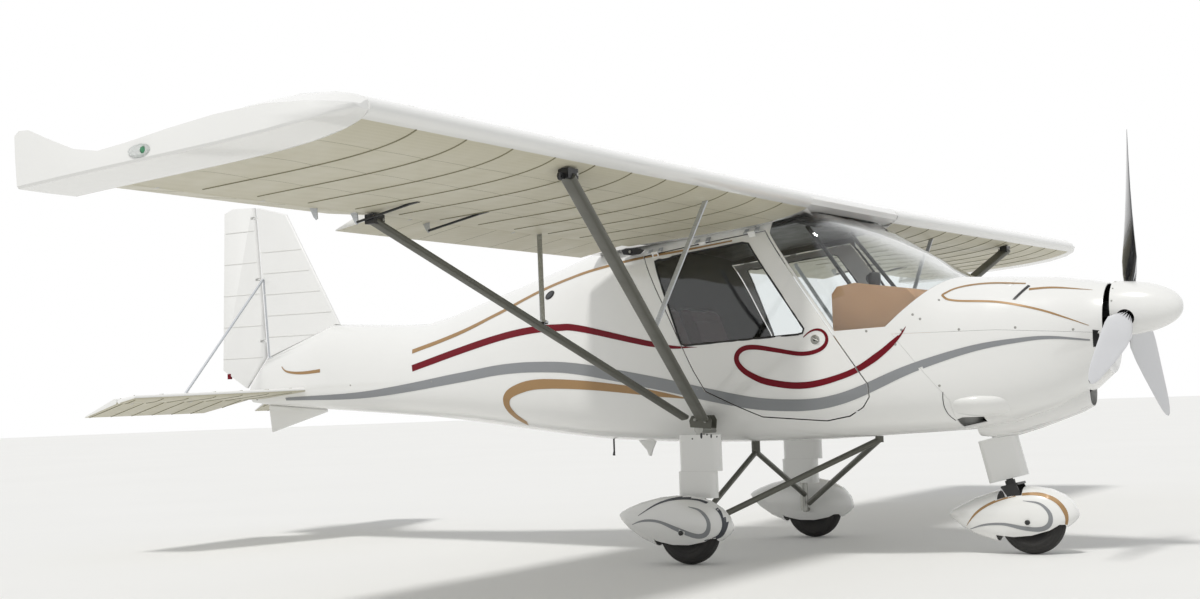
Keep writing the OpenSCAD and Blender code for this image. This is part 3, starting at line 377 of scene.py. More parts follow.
def engine_paint():
    """Cast crankcase, bead blasted and painted: dark, with a coarse skin of 4 mm."""
    m, tree, place = start_material("blasted_casting")
    skin = pattern(tree, place, 250, 3)
    shader = add(
        tree, "ShaderNodeBsdfPrincipled", Base_Color=two_tone(tree, skin, rgb("#3C3D3F"), rgb("#26272A")), Metallic=0.5,
        Roughness=spread(tree, skin, 0.5, 0.7), Normal=bump(tree, skin, 0.001, 0.6),
    )
    finish_material(tree, shader.outputs[0])


# ------------------------------------------------------------ mesh helpers
def piece(name, verts, faces, material, body, smooth=True, sharp=35, recalc=False):
    """A finished piece at the origin, riding on a body."""
    mesh = bpy.data.meshes.new(name)
    mesh.from_pydata([tuple(v) for v in verts], [], faces)
    mesh.validate()
    if recalc:
        bm = bmesh.new()
        bm.from_mesh(mesh)
        bmesh.ops.recalc_face_normals(bm, faces=bm.faces)
        bm.to_mesh(mesh)
        bm.free()
    o = bpy.data.objects.new(name, mesh)
    bpy.context.scene.collection.objects.link(o)
    for key in material if isinstance(material, (list, tuple)) else [material]:
        mesh.materials.append(MATERIALS[key])
    if smooth:
        mesh.shade_smooth()
        mesh.set_sharp_from_angle(angle=math.radians(sharp))
    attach(o, body)
    return o


def merged(node):
    """Corner points and faces of a CAD node with its doubles merged."""
    bm = bmesh.new()
    bm.from_mesh(NODES[node].data)
    bmesh.ops.remove_doubles(bm, verts=bm.verts, dist=2e-5)
    verts = [v.co.copy() for v in bm.verts]
    faces = [[v.index for v in f.verts] for f in bm.faces]
    bm.free()
    return verts, faces


def skin_of(node, name, material, sharp=32, body_like=False, lining=None):
    """Smooth piece that stands for a CAD node, shaded as the true curve of the fuselage where it lies on it."""
    verts, faces = merged(node)
    slots = [material] + ([lining] if lining else [])
    o = piece(name, verts, faces, slots, BODY_OF[node], sharp=sharp)
    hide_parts(node)
    if body_like:
        mesh = o.data
        normals = [c.vector.copy() for c in mesh.corner_normals]
        curve = [body_normal(v.co) for v in mesh.vertices]
        for f in mesh.polygons:
            for corner in f.loop_indices:
                n = curve[mesh.loops[corner].vertex_index]
                lean = f.normal.dot(n)
                if abs(lean) > 0.9:
                    normals[corner] = n if lean > 0 else -n
            # Faces turned inwards take the dark lining, painted shade inside the shell
            if lining and f.normal.dot(body_normal(f.center)) < -0.7:
                f.material_index = 1
        mesh.normals_split_custom_set(normals)
    return o


def dress(node, key):
    """Gives a CAD node a finish in place of its plain colour."""
    slots = NODES[node].data.materials
    slots.clear()
    slots.append(MATERIALS[key])


def both(make):
    for s in (-1, 1):
        make(s)


def flip(points, s):
    return [Vector((p[0], p[1] * s, p[2])) for p in points]


def tube(name, path, radius, material, body, sides=12, flat=1.0):
    """Round or flattened tube along a path, closed at its ends."""
    path = [Vector(p) for p in path]
    verts, faces = [], []
    for i, p in enumerate(path):
        along = (path[min(i + 1, len(path) - 1)] - path[max(i - 1, 0)]).normalized()
        side = along.cross(Vector((0, 0, 1)) if abs(along.z) < 0.9 else Vector((1, 0, 0))).normalized()
        up = side.cross(along)
        r = radius[i] if isinstance(radius, (list, tuple)) else radius
        for k in range(sides):
            a = 2 * math.pi * k / sides
            verts.append(p + side * (r * math.cos(a)) + up * (r * flat * math.sin(a)))
    for i in range(len(path) - 1):
        for k in range(sides):
            a, b = i * sides + k, i * sides + (k + 1) % sides
            faces.append([a, b, b + sides, a + sides])
    faces.append(list(range(sides - 1, -1, -1)))
    faces.append([(len(path) - 1) * sides + k for k in range(sides)])
    return piece(name, verts, faces, material, body, sharp=50, recalc=True)


def lathe(name, centre, axis, outline, material, body, steps=32, squash=(1, 1)):
    """Turned shape: outline of (radius, height) points round an axis."""
    turn = Vector((0, 0, 1)).rotation_difference(Vector(axis).normalized()).to_matrix()
    verts, faces = [], []
    for r, h in outline:
        for k in range(steps):
            a = 2 * math.pi * k / steps
            verts.append(Vector(centre) + turn @ Vector((r * math.cos(a) * squash[0], r * math.sin(a) * squash[1], h)))
    for i in range(len(outline) - 1):
        for k in range(steps):
            a, b = i * steps + k, i * steps + (k + 1) % steps
            faces.append([a, b, b + steps, a + steps])
    faces.append(list(range(steps - 1, -1, -1)))
    faces.append([(len(outline) - 1) * steps + k for k in range(steps)])
    return piece(name, verts, faces, material, body, sharp=40, recalc=True)


def surface_tree(*nodes):
    verts, faces = [], []
    for n in nodes:
        v, f = merged(n)
        faces += [[i + len(verts) for i in face] for face in f]
        verts += v
    return BVHTree.FromPolygons(verts, faces)


def resample(points, step):
    """Smooth curve through points of any dimension, evenly stepped."""
    pts = [Vector(p) for p in points]
    full = [2 * pts[0] - pts[1]] + pts + [2 * pts[-1] - pts[-2]]
    out = []
    for i in range(1, len(full) - 2):
        p0, p1, p2, p3 = full[i - 1 : i + 3]
        n = max(2, int(math.hypot(p2[0] - p1[0], p2[1] - p1[1]) / step))
        for k in range(n):
            t = k / n
            out.append(0.5 * (2 * p1 + (p2 - p0) * t + (2 * p0 - 5 * p1 + 4 * p2 - p3) * t * t + (3 * p1 - p0 - 3 * p2 + p3) * t ** 3))
    out.append(pts[-1])
    for _ in range(8):
        out = [out[0]] + [(a + 2 * b + c) / 4 for a, b, c in zip(out, out[1:], out[2:])] + [out[-1]]
    return out


def clip(poly, a, b, keep_left):
    """Part of a convex polygon on one side of the line a-b."""
    out = []
    side = lambda p: ((b[0] - a[0]) * (p[1] - a[1]) - (b[1] - a[1]) * (p[0] - a[0])) * (1 if keep_left else -1)
    for i, p in enumerate(poly):
        q = poly[(i + 1) % len(poly)]
        sp, sq = side(p), side(q)
        if sp >= 0:
            out.append(p)
        if (sp >= 0) != (sq >= 0):
            t = sp / (sp - sq)
            out.append((lerp(p[0], q[0], t), lerp(p[1], q[1], t)))
    return out if len(out) > 2 else []


def grown(outline, by):
    """Clockwise convex outline moved outwards."""
    out = []
    n = len(outline)
    for i in range(n):
        p0, p1, p2 = (Vector(outline[j % n]) for j in (i - 1, i, i + 1))
        d1, d2 = (p1 - p0).normalized(), (p2 - p1).normalized()
        n1, n2 = Vector((-d1.y, d1.x)), Vector((-d2.y, d2.x))
        out.append(tuple(p1 + (n1 + n2) * (by / max(1 + n1.dot(n2), 0.3))))
    return out


def split_by(outline, poly):
    """Parts of a polygon inside and outside a clockwise convex outline."""
    rest, outside = poly, []
    for i in range(len(outline)):
        a, b = outline[i], outline[(i + 1) % len(outline)]
        if not rest:
            break
        cut = clip(rest, a, b, True)
        if cut:
            outside.append(cut)
        rest = clip(rest, a, b, False)
    return rest, outside


def side_paint(name, quads, key, trees, lift=0.0016, reach=0.002):
    """Paint film laid on the sides of the aircraft. Trees gives, for each body, its surface and what part of the quads it takes."""
    for body, (tree, take, s) in trees.items():
        verts, faces, index = [], [], {}
        for quad in quads:
            for poly in take(quad):
                face = []
                for x, z in poly:
                    k = (round(x, 5), round(z, 5))
                    if k not in index:
                        hit, normal, _, _ = tree.ray_cast(Vector((x, s * 1.5, z)), Vector((0, -s, 0)))
                        if hit is None or hit.y * s < reach:
                            face = None
                            break
                        if normal.y * s < 0:
                            normal = -normal
                        index[k] = len(verts)
                        verts.append(hit + normal * lift)
                    face.append(index[k])
                if face and len(set(face)) > 2:
                    faces.append(face if s < 0 else face[::-1])
        if faces:
            o = piece(f"{name}_{body}_{'left' if s > 0 else 'right'}", verts, faces, key, body.split(":")[0], sharp=60)
            for f in o.data.polygons:
                if f.normal.y * s < 0:
                    f.flip()
            o.data.update()


def ribbon(points, widths, step=0.01, rows=4):
    """Quads along a curve in the side view; each point's width is read from widths, spaced evenly along it."""
    path = resample(points, step)
    n = len(path)
    quads = []
    rails = []
    for i, p in enumerate(path):
        d = (path[min(i + 1, n - 1)] - path[max(i - 1, 0)])
        d = Vector((-d[1], d[0])).normalized()
        u = i / (n - 1) * (len(widths) - 1)
        j = min(int(u), len(widths) - 2)
        w = lerp(widths[j], widths[j + 1], u - j) / 2
        rails.append([(p[0] + d.x * w * t, p[1] + d.y * w * t) for t in [lerp(-1, 1, r / rows) for r in range(rows + 1)]])
    for a, b in zip(rails, rails[1:]):
        for r in range(rows):
            quads.append([a[r], b[r], b[r + 1], a[r + 1]])
    return quads


# --------------------------------------------------------- geometry nodes
def repeat_tree(name, sockets):
    tree = bpy.data.node_groups.new(name, "GeometryNodeTree")
    tree.interface.new_socket(name="Geometry", in_out="INPUT", socket_type="NodeSocketGeometry")
    ids = {}
    for label, kind, value in sockets:
        item = tree.interface.new_socket(name=label, in_out="INPUT", socket_type=kind)
        if value is not None:
            item.default_value = value
        ids[label] = item.identifier
    tree.interface.new_socket(name="Geometry", in_out="OUTPUT", socket_type="NodeSocketGeometry")
    return tree, add(tree, "NodeGroupInput"), ids


def close_tree(tree, geometry, material):
    real = add(tree, "GeometryNodeRealizeInstances", Geometry=geometry)
    done = add(tree, "GeometryNodeSetMaterial", Geometry=real.outputs[0], Material=material)
    out = add(tree, "NodeGroupOutput")
    tree.links.new(done.outputs[0], out.inputs[0])


def screw_tree():
    """Instances one domed head with a shallow flat at every point, its axis along the stored outward direction."""
    tree, entry, ids = repeat_tree("screw_heads", [
        ("Radius", "NodeSocketFloat", 0.006), ("Height", "NodeSocketFloat", 0.0025), ("Material", "NodeSocketMaterial", None),
    ])
    foot = add(tree, "GeometryNodeMeshCone", Vertices=12, Radius_Top=0.0, Radius_Bottom=entry.outputs["Radius"], Depth=entry.outputs["Height"])
    top = add(tree, "ShaderNodeMath", {"operation": "MULTIPLY"}, i0=entry.outputs["Radius"], i1=0.62)
    tree.links.new(top.outputs[0], foot.inputs["Radius Top"])
    outward = add(tree, "GeometryNodeInputNamedAttribute", {"data_type": "FLOAT_VECTOR"}, Name="outward")
    turn = add(tree, "FunctionNodeAlignRotationToVector", {"axis": "Z"}, Vector=outward.outputs["Attribute"])
    spots = add(tree, "GeometryNodeInstanceOnPoints", Points=entry.outputs["Geometry"], Instance=foot.outputs["Mesh"], Rotation=turn.outputs[0])
    close_tree(tree, spots.outputs[0], entry.outputs["Material"])
    return tree, ids


def cord_tree():
    """Sweeps a small round section along every edge path, for rib tapes and seams."""
    tree, entry, ids = repeat_tree("raised_lines", [
        ("Radius", "NodeSocketFloat", 0.003), ("Material", "NodeSocketMaterial", None),
    ])
    path = add(tree, "GeometryNodeMeshToCurve", Mesh=entry.outputs["Geometry"])
    ring = add(tree, "GeometryNodeCurvePrimitiveCircle", Resolution=6, Radius=entry.outputs["Radius"])
    swept = add(tree, "GeometryNodeCurveToMesh", Curve=path.outputs[0], Profile_Curve=ring.outputs[0], Fill_Caps=True)
    close_tree(tree, swept.outputs[0], entry.outputs["Material"])
    return tree, ids


TREES = {}


def grow(name, verts, edges, kind, values, body, outward=None):
    """Runs a node tree over points or paths and keeps its result as a plain mesh."""
    if not verts:
        return None
    if kind not in TREES:
        TREES[kind] = {"screws": screw_tree, "lines": cord_tree}[kind]()
    tree, ids = TREES[kind]
    mesh = bpy.data.meshes.new(name)
    mesh.from_pydata([tuple(v) for v in verts], edges, [])
    if outward:
        layer = mesh.attributes.new("outward", "FLOAT_VECTOR", "POINT")
        layer.data.foreach_set("vector", [c for v in outward for c in v])
    o = bpy.data.objects.new(name, mesh)
    bpy.context.scene.collection.objects.link(o)
    mod = o.modifiers.new("repeat", "NODES")
    mod.node_group = tree
    for label, value in values.items():
        mod[ids[label]] = value
    bpy.context.view_layer.update()
    made = bpy.data.meshes.new_from_object(o.evaluated_get(bpy.context.evaluated_depsgraph_get()))
    o.modifiers.remove(mod)
    o.data = made
    made.name = name
    if not made.materials:
        made.materials.append(values["Material"])
    for f in made.polygons:
        f.use_smooth = kind == "lines"
    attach(o, body)
    return o


# --------------------------------------------------------------- operators
class ULTRALIGHT_OT_stage(bpy.types.Operator):
    """Pale floor, soft light and the camera"""

    bl_idname = "ultralight.stage"
    bl_label = "Stage and Camera"

    def execute(self, context):
        scene = context.scene
        m, tree, place = start_material("pale_floor")
        shade = add(tree, "ShaderNodeBsdfPrincipled", Base_Color=two_tone(tree, pattern(tree, place, 0.6, 3), rgb("#F1F1EF"), rgb("#EDEDEB")), Roughness=0.9)
        finish_material(tree, shade.outputs[0])
        mesh = bpy.data.meshes.new("floor")
        ring = [(60 * math.cos(a), 60 * math.sin(a), -0.0005) for a in [2 * math.pi * k / 64 for k in range(64)]]
        mesh.from_pydata(ring, [], [list(range(64))])
        mesh.materials.append(m)
        floor = bpy.data.objects.new("floor", mesh)
        scene.collection.objects.link(floor)

        world = bpy.data.worlds.new("white_room")
        scene.world = world
        world.use_nodes = True
        t = world.node_tree
        t.nodes.clear()
        ray = add(t, "ShaderNodeLightPath")
        first = add(t, "ShaderNodeMath", {"operation": "MAXIMUM"}, i0=ray.outputs["Is Camera Ray"], i1=ray.outputs["Is Transmission Ray"])
        seen = add(t, "ShaderNodeMath", {"operation": "MAXIMUM"}, i0=first.outputs[0], i1=ray.outputs["Is Glossy Ray"])
        room = add(t, "ShaderNodeBackground", Color=rgb("#F3F4F6"), Strength=0.56)
        wall = add(t, "ShaderNodeBackground", Color=(1, 1, 1, 1), Strength=1.0)
        mix = add(t, "ShaderNodeMixShader", i0=seen.outputs[0], i1=room.outputs[0], i2=wall.outputs[0])
        add(t, "ShaderNodeOutputWorld", Surface=mix.outputs[0])

        sun = bpy.data.lights.new("soft_key", "SUN")
        sun.energy, sun.angle, sun.color = 1.75, math.radians(9), (1.0, 0.985, 0.96)
        key = bpy.data.objects.new("soft_key", sun)
        key.rotation_euler = Vector((0.06, -0.52, 0.85)).to_track_quat("Z", "Y").to_euler()
        scene.collection.objects.link(key)

        yaw, tip, roll = math.radians(30.53), math.radians(-2.93), math.radians(-2.03)
        back = Vector((math.sin(yaw) * math.cos(tip), -math.cos(yaw) * math.cos(tip), math.sin(tip)))
        right = (-back).cross(Vector((0, 0, 1))).normalized()
        up = back.cross(right)
        r = right * math.cos(roll) + up * math.sin(roll)
        u = up * math.cos(roll) - right * math.sin(roll)
        cam = bpy.data.cameras.new("camera")
        cam.sensor_width, cam.lens = 36, 52.362
        cam.shift_x, cam.shift_y = 0.00575, 0.00375
        cam.clip_end = 200
        eye = bpy.data.objects.new("camera", cam)
        eye.matrix_world = Matrix.Translation((4.9695, -8.814, 0.895)) @ Matrix((r, u, back)).transposed().to_4x4()
        scene.collection.objects.link(eye)
        scene.camera = eye
        scene.view_settings.view_transform = "Standard"
        return {"FINISHED"}


class ULTRALIGHT_OT_fuselage(bpy.types.Operator):
    """Gelcoat shell, cowls, doors, tips and wheel fairings"""

    bl_idname = "ultralight.fuselage"
    bl_label = "Moulded Shells"

    def execute(self, context):
        build_materials(context.scene.ultralight_paint)
        white = "white_gelcoat"
        skin_of("fuselage_shell", "fuselage_skin", white, 30, True, "cabin_shade_lining")
        skin_of("upper_cowl", "upper_cowl_skin", white, 30, True, "cabin_shade_lining")
        skin_of("lower_cowl", "lower_cowl_skin", white, 30, True)
        skin_of("door_left", "door_skin_left", white, 30, True)
        skin_of("door_right", "door_skin_right", white, 30, True)
        skin_of("roof_fairing", "roof_skin", white, 30)
        skin_of("wing_tips", "wing_tip_skins", white, 42)
        skin_of("main_pants", "main_fairing_skins", white, 34)
        skin_of("nose_pant", "nose_fairing_skin", white, 34)
        skin_of("spinner", "spinner_skin", white, 34)
        skin_of("leg_sleeves", "leg_sleeve_skins", white, 34)
        skin_of("nose_leg", "nose_leg_skin", white, 34)
        skin_of("windscreen", "windscreen_sheet", "clear_acrylic", 30, True)
        skin_of("door_glass_left", "door_pane_left", "clear_acrylic", 30, True)
        skin_of("door_glass_right", "door_pane_right", "clear_acrylic", 30, True)
        for node, key in {
            "firewall": "zinc_steel", "engine_block": "blasted_casting", "instrument_panel": "tan_leathercloth",
            "cabin_floor": "cabin_shade_lining", "door_hinges": "drawn_aluminium", "strut_fittings": "black_enamel",
            "gear_struts": "olive_grey_tube", "wing_struts": "olive_grey_tube", "tail_braces": "drawn_aluminium",
            "main_legs": "zinc_steel", "nose_fork": "black_enamel",
        }.items():
            if node in ("gear_struts", "wing_struts", "tail_braces", "main_legs", "nose_fork", "strut_fittings", "instrument_panel"):
                skin_of(node, node + "_finish", key, 34)
            else:
                dress(node, key)
        self.brighten(bpy.data.objects["wing_struts_finish"])
        for node in ("main_tyre_left", "main_tyre_right", "nose_tyre"):
            skin_of(node, node.replace("tyre", "tread"), "tyre_rubber", 40)
        for node in ("main_rim_left", "main_rim_right", "nose_rim"):
            skin_of(node, node.replace("rim", "wheel"), "cast_aluminium", 34)
        for node, name in {
            "aileron_left": "aileron_cloth_left", "aileron_right": "aileron_cloth_right", "flap_left": "flap_cloth_left",
            "flap_right": "flap_cloth_right", "elevators": "elevator_cloth", "rudder": "rudder_cloth",
            "fins": "fin_cloth", "stabilisers": "stabiliser_cloth",
        }.items():
            o = skin_of(node, name, "sailcloth_top", 46 if node in ("rudder", "fins") else 34)
            upright = node in ("rudder", "fins")
            o.data.materials.append(MATERIALS[white if upright else "sailcloth_under_shaded"])
            # Fin and rudder: gelcoat below 0.95 m; flat surfaces: faces turned down take the darker under-cloth,
            # painted shade
            for f in o.data.polygons:
                f.material_index = int(f.center.z < 0.95 if upright else f.normal.z < -0.2)
        return {"FINISHED"}


    def brighten(self, o):
        """The jury struts stay bare metal: they are the islands that start high above the strut feet."""
        bm = bmesh.new()
        bm.from_mesh(o.data)
        o.data.materials.append(MATERIALS["drawn_aluminium"])
        todo = set(bm.verts)
        while todo:
            island, edge = set(), [todo.pop()]
            while edge:
                v = edge.pop()
                island.add(v)
                edge += [w for w in (e.other_vert(v) for e in v.link_edges) if w not in island]
            todo -= island
            if min(v.co.z for v in island) > 1.1:
                for f in {f for v in island for f in v.link_faces}:
                    o.data.polygons[f.index].material_index = 1
        bm.free()


class ULTRALIGHT_OT_propeller(bpy.types.Operator):
    """Blades with a pale face and a gloss black back"""

    bl_idname = "ultralight.propeller"
    bl_label = "Propeller Blades"

    def execute(self, context):
        o = skin_of("propeller", "propeller_blades", "propeller_back", 40)
        o.data.materials.append(MATERIALS["propeller_face"])
        for f in o.data.polygons:
            out = math.hypot(f.center.y, f.center.z - HUB.z)
            f.material_index = int(f.normal.x > 0.05 and out > 0.15)
        spots, ways = [], []
        for k in range(12):
            a = 2 * math.pi * (k + 0.5) / 12
            spots.append(HUB + Vector((0.012, 0.1385 * math.cos(a), 0.1385 * math.sin(a))))
            ways.append(Vector((0.12, math.cos(a), math.sin(a))))
        grow("spinner_screws", spots, [], "screws", {"Radius": 0.0045, "Height": 0.002, "Material": MATERIALS["zinc_steel"]}, "propeller", ways)
        return {"FINISHED"}


class ULTRALIGHT_OT_wings(bpy.types.Operator):
    """Sailcloth over the wing, drawn in between ribs, with a tape over every rib"""

    bl_idname = "ultralight.wings"
    bl_label = "Wing Covering"

    def execute(self, context):
        sizes = context.scene.ultralight_sizes
        for s, side in ((1, "left"), (-1, "right")):
            self.cover(s, side, sizes)
            self.lugs(s, side)
            self.surface_lines(s, side, sizes)
        return {"FINISHED"}

    def stations(self, sizes):
        span = SEAM_Y - ROOT_Y
        return [0.0007 + (span - 0.0007) * k / sizes.ribs for k in range(sizes.ribs + 1)]

    def sink(self, y, s, ribs, sizes):
        """Depth of the fabric below the rib line at a place."""
        for a, b in zip(ribs, ribs[1:]):
            if a <= y <= b:
                t = (y - a) / (b - a)
                across = (4 * t * (1 - t)) ** 0.75
                along = min(max((s - 0.1) / 0.14, 0), 1) * min(max((REAR_FACE - s) / 0.1, 0), 1)
                return sizes.sag * across * along * along * (3 - 2 * along)
        return 0.0

    def cover(self, s, side, sizes):
        ribs = self.stations(sizes)
        frame_of = wing_matrix(s)
        ys = sorted({round(lerp(a, b, k / 8), 5) for a, b in zip(ribs, ribs[1:]) for k in range(9)})
        shares = [REAR_FACE * (k / 34) ** 1.7 for k in range(35)]
        loop = [(q, 0) for q in reversed(shares)] + [(q, 1) for q in shares[1:]]
        verts, faces = [], []
        for y in ys:
            for q, under in loop:
                z = foil(q)[under]
                z += (1 if under else -1) * self.sink(y, q, ribs, sizes)
                verts.append(frame_of @ Vector((-q * CHORD, y, z)))
        n = len(loop)
        for i in range(len(ys) - 1):
            for j in range(n):
                a, b = i * n + j, i * n + (j + 1) % n
                faces.append([a, b, b + n, a + n])
        faces.append(list(range(n - 1, -1, -1)))
        faces.append([(len(ys) - 1) * n + k for k in range(n)])
        o = piece(f"wing_cloth_{side}", verts, faces, ["sailcloth_top", "sailcloth_under_shaded", "white_gelcoat"], BODY_OF[f"wing_{side}"], sharp=40, recalc=True)
        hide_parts(f"wing_{side}")
        half = len(shares) - 1
        for k, f in enumerate(o.data.polygons):
            j = k % n
            if k >= (len(ys) - 1) * n:
                f.material_index = 0
            # Faces on the underside take the darker under-cloth, painted shade
            elif j >= half and j < n - 1 and loop[j][0] > 0.03:
                f.material_index = 1
            elif loop[j][0] < 0.1:
                f.material_index = 2
        inner = [q for q in shares if 0.03 < q < REAR_FACE - 0.002]
        # Lower tapes take the darker rib colour, painted shade; upper tapes the pale tape colour
        for under, lift, key in ((1, 0.0022, "rib_tape"), (0, -0.0045, "cloth_tape")):
            lines, edges = [], []
            for y in ribs[1:-1]:
                edges += [(len(lines) + k, len(lines) + k + 1) for k in range(len(inner) - 1)]
                lines += [frame_of @ Vector((-q * CHORD, y, foil(q)[under] + lift)) for q in inner]
            name = f"rib_tapes_{'lower' if under else 'upper'}_{side}"
            grow(name, lines, edges, "lines", {"Radius": sizes.cord, "Material": MATERIALS[key]}, BODY_OF[f"wing_{side}"])
        seams, edges = [], []
        for q in (0.17, 0.36, 0.57):
            first = len(seams)
            for y in ys:
                z = foil(q)[1] + self.sink(y, q, ribs, sizes) + 0.0013
                seams.append(frame_of @ Vector((-q * CHORD, y, z)))
                if len(seams) - 1 > first:
                    edges.append((len(seams) - 2, len(seams) - 1))
        # Seams in the darker rib colour, painted shade
        grow(f"span_seams_{side}", seams, edges, "lines", {"Radius": 0.0018, "Material": MATERIALS["rib_tape"]}, BODY_OF[f"wing_{side}"])

    def lugs(self, s, side):
        m = wing_matrix(s)
        verts, faces = [], []
        for span in (FLAP_SPAN, AILERON_SPAN):
            for t in (0.1, 0.5, 0.9):
                y = lerp(*span, t) - ROOT_Y
                ring = [(0.057, -0.011), (0.057, 0.011)] + [
                    (0.011 * math.cos(a), 0.011 * math.sin(a)) for a in [math.radians(90 + 180 * k / 12) for k in range(13)]
                ]
                base = len(verts)
                for dy in (-0.003, 0.003):
                    verts += [m @ Vector((-FLAP_AXIS + px, y + dy, FLAP_MID + pz)) for px, pz in ring]
                n = len(ring)
                faces += [[base + k, base + (k + 1) % n, base + n + (k + 1) % n, base + n + k] for k in range(n)]
                faces += [[base + k for k in range(n - 1, -1, -1)], [base + n + k for k in range(n)]]
        piece(f"hinge_lugs_{side}", verts, faces, "drawn_aluminium", BODY_OF[f"wing_{side}"], sharp=40, recalc=True)

    def surface_lines(self, s, side, sizes):
        """Rib tapes of the flap and the aileron."""
        for name, span, rest, count in (("flap", FLAP_SPAN, -9, 7), ("aileron", AILERON_SPAN, 8, 5)):
            hold = wing_matrix(s) @ Matrix.Translation((-FLAP_AXIS, 0, FLAP_MID)) @ Matrix.Rotation(math.radians(rest), 4, "Y")
            lines, edges = [], []
            for k in range(1, count):
                y = lerp(*span, k / count) - ROOT_Y
                for top in (1, -1):
                    a = hold @ Vector((-0.004, y, top * (FLAP_NOSE - 0.0022)))
                    b = hold @ Vector((-0.255, y, top * 0.0012))
                    edges.append((len(lines), len(lines) + 1))
                    lines += [a, b]
            # Tapes in the darker rib colour, painted shade
            grow(f"{name}_tapes_{side}", lines, edges, "lines", {"Radius": 0.0028, "Material": MATERIALS["rib_tape"]}, f"{name}_{side}")


class ULTRALIGHT_OT_stripes(bpy.types.Operator):
    """Flowing stripes on the fuselage, the doors and the wheel fairings"""

    bl_idname = "ultralight.stripes"
    bl_label = "Painted Stripes"

    LINES = [
        ("wine_sweep", "stripe_wine", [(-1.363, 1.085), (-0.966, 1.175), (-0.64, 1.238), (-0.379, 1.267), (-0.168, 1.27), (-0.006, 1.255), (0.53, 1.137), (0.762, 1.118)], [0.04, 0.042, 0.042, 0.04, 0.038, 0.034, 0.03, 0.001]),
        ("wine_curl", "stripe_wine", [(1.372, 1.142), (1.398, 1.166), (1.44, 1.182), (1.484, 1.17), (1.503, 1.128), (1.484, 1.09), (1.44, 1.068), (1.355, 1.058), (1.223, 1.082), (1.099, 1.104), (1.028, 1.1), (0.99, 1.07), (0.99, 1.03), (1.03, 0.983), (1.09, 0.949), (1.152, 0.924), (1.308, 0.898), (1.45, 0.908), (1.624, 0.958), (1.76, 1.04), (1.861, 1.13), (1.888, 1.172)], [0.004, 0.014, 0.02, 0.022, 0.022, 0.024, 0.026, 0.028, 0.03, 0.034, 0.034, 0.034, 0.032, 0.03, 0.03, 0.034, 0.026, 0.002]),
        ("silver_sweep", "stripe_silver", [(-2.52, 0.929), (-1.764, 0.938), (-0.961, 1.016), (-0.634, 1.05), (-0.335, 1.055), (-0.015, 1.03), (0.52, 0.932), (0.834, 0.862), (1.05, 0.818), (1.199, 0.802), (1.36, 0.798), (1.496, 0.812), (1.651, 0.857), (1.914, 0.967), (2.187, 1.05), (2.403, 1.083), (2.547, 1.09), (2.717, 1.07)], [0.018, 0.034, 0.046, 0.056, 0.058, 0.06, 0.066, 0.066, 0.06, 0.05, 0.03, 0.006]),
        ("bronze_tail", "stripe_bronze", [(-2.545, 1.14), (-2.515, 1.112), (-2.432, 1.096), (-2.32, 1.092), (-2.175, 1.1)], [0.006, 0.014, 0.018, 0.02, 0.022]),
        ("bronze_sweep", "stripe_bronze", [(-1.379, 1.187), (-0.99, 1.283), (-0.68, 1.384), (-0.341, 1.495), (-0.023, 1.562), (0.137, 1.587), (0.399, 1.617), (0.7, 1.638), (0.98, 1.666)], [0.026, 0.024, 0.021, 0.018, 0.016, 0.014, 0.012, 0.008]),
        ("bronze_loop", "stripe_bronze", [(-0.52, 0.735), (-0.578, 0.782), (-0.612, 0.845), (-0.588, 0.9), (-0.48, 0.94), (-0.326, 0.958), (-0.02, 0.944), (0.308, 0.909), (0.514, 0.878), (0.70, 0.848)], [0.03, 0.05, 0.058, 0.056, 0.052, 0.048, 0.044, 0.04, 0.026, 0.002]),
        ("cowl_line_top", "stripe_bronze", [(2.04, 1.325), (2.06, 1.345), (2.12, 1.367), (2.236, 1.378), (2.406, 1.367)], [0.009, 0.009, 0.008, 0.006]),
        ("cowl_line_front", "stripe_bronze", [(2.432, 1.335), (2.54, 1.339), (2.72, 1.318)], [0.011, 0.008, 0.001]),
        ("cowl_line_low", "stripe_bronze", [(2.04, 1.325), (2.052, 1.305), (2.118, 1.291), (2.302, 1.277), (2.487, 1.232), (2.62, 1.182), (2.716, 1.141)], [0.009, 0.01, 0.01, 0.009, 0.002]),
    ]
    SWIRLS = {
        "main": [
            ("dark", "stripe_charcoal", [(0.511, 0.252), (0.647, 0.322), (0.788, 0.344), (0.9, 0.325), (0.976, 0.275), (1.0, 0.205), (0.97, 0.15), (0.892, 0.129)], [0.002, 0.008, 0.012, 0.018, 0.024, 0.026, 0.02, 0.004]),
            ("pale", "stripe_silver", [(0.81, 0.3), (0.88, 0.28), (0.925, 0.225), (0.915, 0.168), (0.864, 0.15), (0.761, 0.183), (0.642, 0.225), (0.541, 0.227), (0.465, 0.205)], [0.002, 0.014, 0.022, 0.026, 0.022, 0.014, 0.012, 0.003]),
        ],
        "nose": [
            ("bronze", "stripe_bronze", [(1.99, 0.145), (2.058, 0.217), (2.152, 0.27), (2.279, 0.305), (2.392, 0.306), (2.476, 0.268), (2.515, 0.205), (2.508, 0.155), (2.482, 0.125)], [0.002, 0.012, 0.012, 0.012, 0.014, 0.018, 0.02, 0.004]),
            ("pale", "stripe_silver", [(2.304, 0.276), (2.39, 0.262), (2.44, 0.21), (2.434, 0.158), (2.389, 0.132), (2.305, 0.137), (2.2, 0.158), (2.091, 0.152), (2.003, 0.126)], [0.002, 0.012, 0.022, 0.024, 0.02, 0.013, 0.01, 0.002]),
        ],
    }

